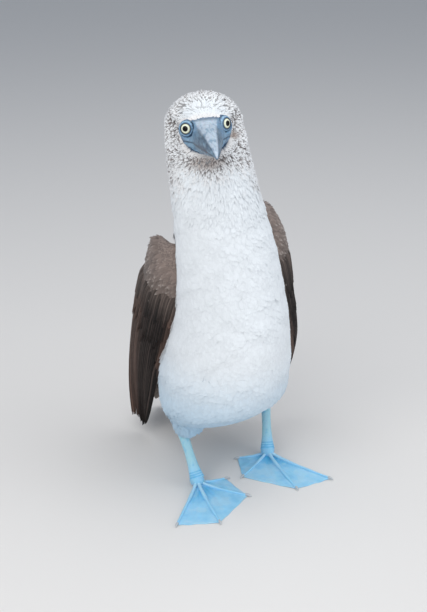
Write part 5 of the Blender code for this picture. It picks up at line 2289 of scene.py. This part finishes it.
@dataclass
class Leg:
    """A bare shank, toes, claws and the web between them."""

    side: Side
    ankle: Place
    heel: Place
    turn_degrees: float
    toes: tuple[Toe, ...] = (
        Toe(-30, 0.094, 0.0026),
        Toe(0, 0.090, 0.0028),
        Toe(50, 0.064, 0.0025),
        Toe(98, 0.038, 0.0023),
    )
    toe_height: float = 0.0021
    claw_length: float = 0.0052
    # share of the claw's length, rise over the toe's line, half width
    claw: Rows = (
        (-0.4, 0.0, 0.0015),
        (0.1, 0.0004, 0.0014),
        (0.5, 0.0002, 0.0011),
        (0.85, -0.0006, 0.0006),
        (1.0, -0.0012, 0.0002),
    )
    pad_radius: float = 0.0085
    shank: tuple[float, ...] = (0.0075, 0.0058, 0.0054, 0.0062, 0.0090)
    flatness: float = 0.78

    def toe_line(self, toe: Toe, shares: Array) -> Array:
        """Places along a toe: straight out from the ankle, coming down to the floor as e^(-5t).

        Args:
            toe: The toe.
            shares: n shares of its length.

        Returns:
            n x 3 places.
        """
        heading = math.radians(self.turn_degrees - self.side.value * toe.angle_degrees)
        way = np.array([math.sin(heading), -math.cos(heading), 0.0])
        x, y, z = self.ankle
        places = np.array([x, y, self.toe_height]) + way * (shares * toe.length)[:, None]
        places[:, 2] += (z - 0.002 - self.toe_height) * np.exp(-5.0 * shares)
        return places

    def toe_shells(self) -> list[Shell]:
        """Toes as low ridges with knuckles, blue and paler along the top.

        Returns:
            One shell for each toe.
        """
        shells = []
        for toe in self.toes:
            shares = np.linspace(0, 1, 80)
            line = self.toe_line(toe, shares)
            knuckles = 1 + 0.10 * np.cos(shares * 6 * math.pi)
            scutes = 1 + 0.03 * np.cos(shares * toe.length / 0.0016 * 2 * math.pi)
            radii = toe.radius * (1 - 0.45 * shares) * knuckles * scutes * 0.94
            shell = tube(line, radii, 28, 0.9)
            high = smooth(shell.points[:, 2], 0.003, 0.0065)
            shells.append(shell.painted(blend(FOOT_BLUE, FOOT_PALE, high * 0.6)))
        return shells

    def claws(self) -> Shell:
        """A small hooked claw on each toe.

        Returns:
            One shell of all claws.
        """
        shells = []
        for toe in self.toes:
            line = self.toe_line(toe, np.array([0.9, 1.0]))
            way = unit(line[1] - line[0])
            table = resample(self.claw, 24)
            centres = line[1] + way * self.claw_length * table[:, :1] + UP * table[:, 1:2]
            shells.append(tube(centres, table[:, 2], 16, 1.1).painted(CLAW_GREY))
        return gathered(shells)

    def web(self) -> Shell:
        """Thin sheets between neighbouring toes, hollowed a little along their front edge and rippled.

        Returns:
            A closed shell with its colours.
        """
        shares = np.linspace(0.02, 1.0, 60)
        lines = [self.toe_line(toe, shares) for toe in self.toes]
        origin = np.array([*self.ankle[:2], 0.0])
        columns = []
        steps = 24
        for k, (first, second) in enumerate(zip(lines, lines[1:])):
            last = k == len(lines) - 2
            for t in np.linspace(0, 1, steps + last, endpoint=last):
                middle = math.sin(math.pi * t)
                bow = 1 - 0.004 * (middle + math.sin(5 * math.pi * t)) * shares[:, None] ** 3
                between = (1 - t) * first + t * second
                flat = origin + (between - origin) * bow
                fall = (0.0007 + 0.00025 * np.sin(6 * math.pi * t + 9 * shares)) * middle
                high = 0.0016 + 0.85 * np.maximum(between[:, 2] - self.toe_height, 0)
                flat[:, 2] = np.maximum(high - fall, 0.0009)
                columns.append(flat)
        top = np.stack(columns, axis=1)
        bottom = top - UP * 0.0008
        width = np.linspace(0, 1, top.shape[1])
        toward = np.abs(((width * 3) % 1.0) - 0.5) * 2
        colour = blend(FOOT_BLUE, FOOT_DEEP, (1 - smooth(shares, 0.12, 0.55))[:, None] * 0.85 + 0 * width)
        veins = 0.5 + 0.5 * np.sin(width * 90 + 3 * np.sin(shares * 8)[:, None])
        colour = blend(colour, FOOT_PALE, 0.10 * veins * smooth(shares, 0.3, 0.9)[:, None] + 0.25 * toward**4)
        patchy = mottle(top.reshape(-1, 3), 0.011, 6).reshape(top.shape[:2])
        colour = blend(colour, FOOT_DEEP, 0.22 * smooth(patchy, 0.1, 1.0))
        colour = blend(colour, FOOT_PALE, 0.40 * smooth(patchy, -0.1, -0.9))
        nothing = np.zeros((1, *top.shape))
        shell = vanes(top[None], bottom[None], colour[None], nothing[..., :2], nothing)
        return replace(shell, places=None, lies=None)

    def pad(self) -> Shell:
        """The ball under the ankle, where the toes meet.

        Returns:
            A closed shell with its colour.
        """
        shell = ball(self.pad_radius, 30, 40, 0.02)
        shell.points = shell.points + np.array([*self.ankle[:2], self.pad_radius])
        return shell.painted(FOOT_BLUE * 0.95)

    def shank_shell(self) -> Shell:
        """The shank: flattened from side to side by its sinews, with plates as rings.

        Returns:
            A closed shell with its colours.
        """
        rows, sides = 110, 48
        ankle, heel = np.array(self.ankle), np.array(self.heel)
        sunk = 0.009 / np.linalg.norm(ankle - heel)
        table = resample(tuple((radius,) for radius in self.shank), rows)
        shares = np.linspace(-sunk, 1.0, rows)
        centres = heel + (ankle - heel) * shares[:, None]
        creases = sum(hump(shares, at, 0.012) for at in (0.86, 0.91, 0.96))
        plates = 1 + 0.016 * np.abs(np.sin(shares * 24 * math.pi)) - 0.05 * creases
        shell = tube(centres, table[:, 0] * plates, sides, self.flatness)
        colour = blend(SHANK_BLUE, FOOT_BLUE, smooth(shell.points[:, 2], 0.034, 0.014))
        patchy = mottle(shell.points, (0.004, 0.004, 0.007), 8)
        colour = blend(colour, FOOT_DEEP, 0.30 * smooth(patchy, 0.1, 1.0))
        rings = np.concatenate([np.repeat(creases, sides), creases[[0, -1]]])
        return shell.painted(blend(colour, FOOT_DEEP, 0.65 * rings))

    def build(self, skin: Paint, horn: Paint) -> None:
        """Makes foot, claws and shank in place of their solids, with nothing below the floor.

        Args:
            skin: Material of foot and shank.
            horn: Material of the claws.
        """
        side = self.side.word
        foot = gathered([self.web(), self.pad(), *self.toe_shells()])
        for name, shell, material, nodes in (
            (f"foot_{side}_skin", foot, skin, (f"foot_{side}",)),
            (f"claws_{side}", self.claws(), horn, ()),
            (f"shank_{side}", self.shank_shell(), skin, (f"tarsus_{side}",)),
        ):
            shell = shell.moved(STANCE.matrix())
            shell.points[:, 2] = np.maximum(shell.points[:, 2], 0.0)
            finish_piece(make_piece(name, shell), material, nodes)


EYES = (
    Eye(Side.RIGHT, 24.0, 0.0026, aside=0.0180, lift=0.08),
    Eye(Side.LEFT, 44.0, 0.0036, aside=0.0168, lift=0.06),
)
LEGS = (
    Leg(Side.RIGHT, (-0.048, -0.030, 0.011), (-0.060, -0.006, 0.060), 5.0),
    Leg(Side.LEFT, (0.0525, 0.0273, 0.011), (0.055, 0.050, 0.064), 8.0),
)


# Studio


@dataclass
class Studio:
    """A pale floor, soft lamps and the camera."""

    azimuth_degrees: float = -12.0
    elevation_degrees: float = 20.0
    distance: float = 1.4
    lens: float = 71.5
    target: Place = (-0.0274, 0.0156, 0.2136)

    def floor(self) -> None:
        """A wide plain floor."""
        side = 6.0
        corners = np.array([[-side, -side, 0], [side, -side, 0], [side, side, 0], [-side, side, 0]], float)
        piece = make_piece("floor", Shell(corners, np.array([[0, 1, 2, 3]]), NO_TRIS))
        net = Net("pale floor", Base_Color=(0.74, 0.72, 0.70, 1.0), Roughness=0.9)
        piece.data.materials.append(net.material)

    def lamp(self, name: str, place: tuple, size: float, power: float, colour: tuple) -> None:
        """A square area lamp that faces the bird's middle.

        Args:
            name: The lamp's name.
            place: Where it hangs.
            size: Its edge.
            power: Its strength in watts.
            colour: Its colour.
        """
        light = bpy.data.lights.new(name, "AREA")
        light.shape = "SQUARE"
        light.size = size
        light.energy = power
        light.color = colour
        piece = bpy.data.objects.new(name, light)
        piece.location = place
        piece.rotation_euler = (Vector(self.target) - Vector(place)).to_track_quat("-Z", "Y").to_euler()
        bpy.context.scene.collection.objects.link(piece)

    def camera(self) -> None:
        """The camera, as far back as the photo's and at its height."""
        turn, rise = math.radians(self.azimuth_degrees), math.radians(self.elevation_degrees)
        back = Vector((math.sin(turn) * math.cos(rise), -math.cos(turn) * math.cos(rise), math.sin(rise)))
        made = bpy.data.cameras.new("camera")
        made.lens = self.lens
        made.clip_start = 0.05
        piece = bpy.data.objects.new("camera", made)
        piece.location = Vector(self.target) + back * self.distance
        piece.rotation_euler = (-back).to_track_quat("-Z", "Y").to_euler()
        bpy.context.scene.collection.objects.link(piece)
        bpy.context.scene.camera = piece

    def build(self) -> None:
        """Sets everything up."""
        self.floor()
        self.lamp("sky", (0.2, -0.6, 2.6), 3.0, 40.0, (1.0, 0.99, 0.97))
        self.lamp("key", (-1.4, -1.9, 1.6), 1.8, 34.0, (1.0, 0.98, 0.95))
        self.lamp("fill", (1.9, -1.4, 0.9), 1.8, 14.0, (0.94, 0.97, 1.0))
        world = bpy.data.worlds.new("soft light")
        world.use_nodes = True
        glow = world.node_tree.nodes["Background"].inputs
        glow["Color"].default_value, glow["Strength"].default_value = (0.80, 0.88, 1.0, 1.0), 0.45
        bpy.context.scene.world = world
        bpy.context.scene.view_settings.view_transform = "Standard"
        self.camera()


def main() -> None:
    """Builds the bird and the studio."""
    logging.basicConfig(level=logging.INFO, format="%(message)s")
    heels = {leg.side: np.array(leg.heel) for leg in LEGS}
    Body().build(heels)
    for wing in WINGS:
        wing.build()
    Tail().build()
    eyes = {eye.side: eye for eye in EYES}
    Face(eyes).build()
    for eye in eyes.values():
        eye.build()
    Bill().build()
    blue, grey = FOOT_SKIN.material(), CLAW_HORN.material()
    for leg in LEGS:
        leg.build(blue, grey)
    Studio().build()


if __name__ == "__main__":
    main()
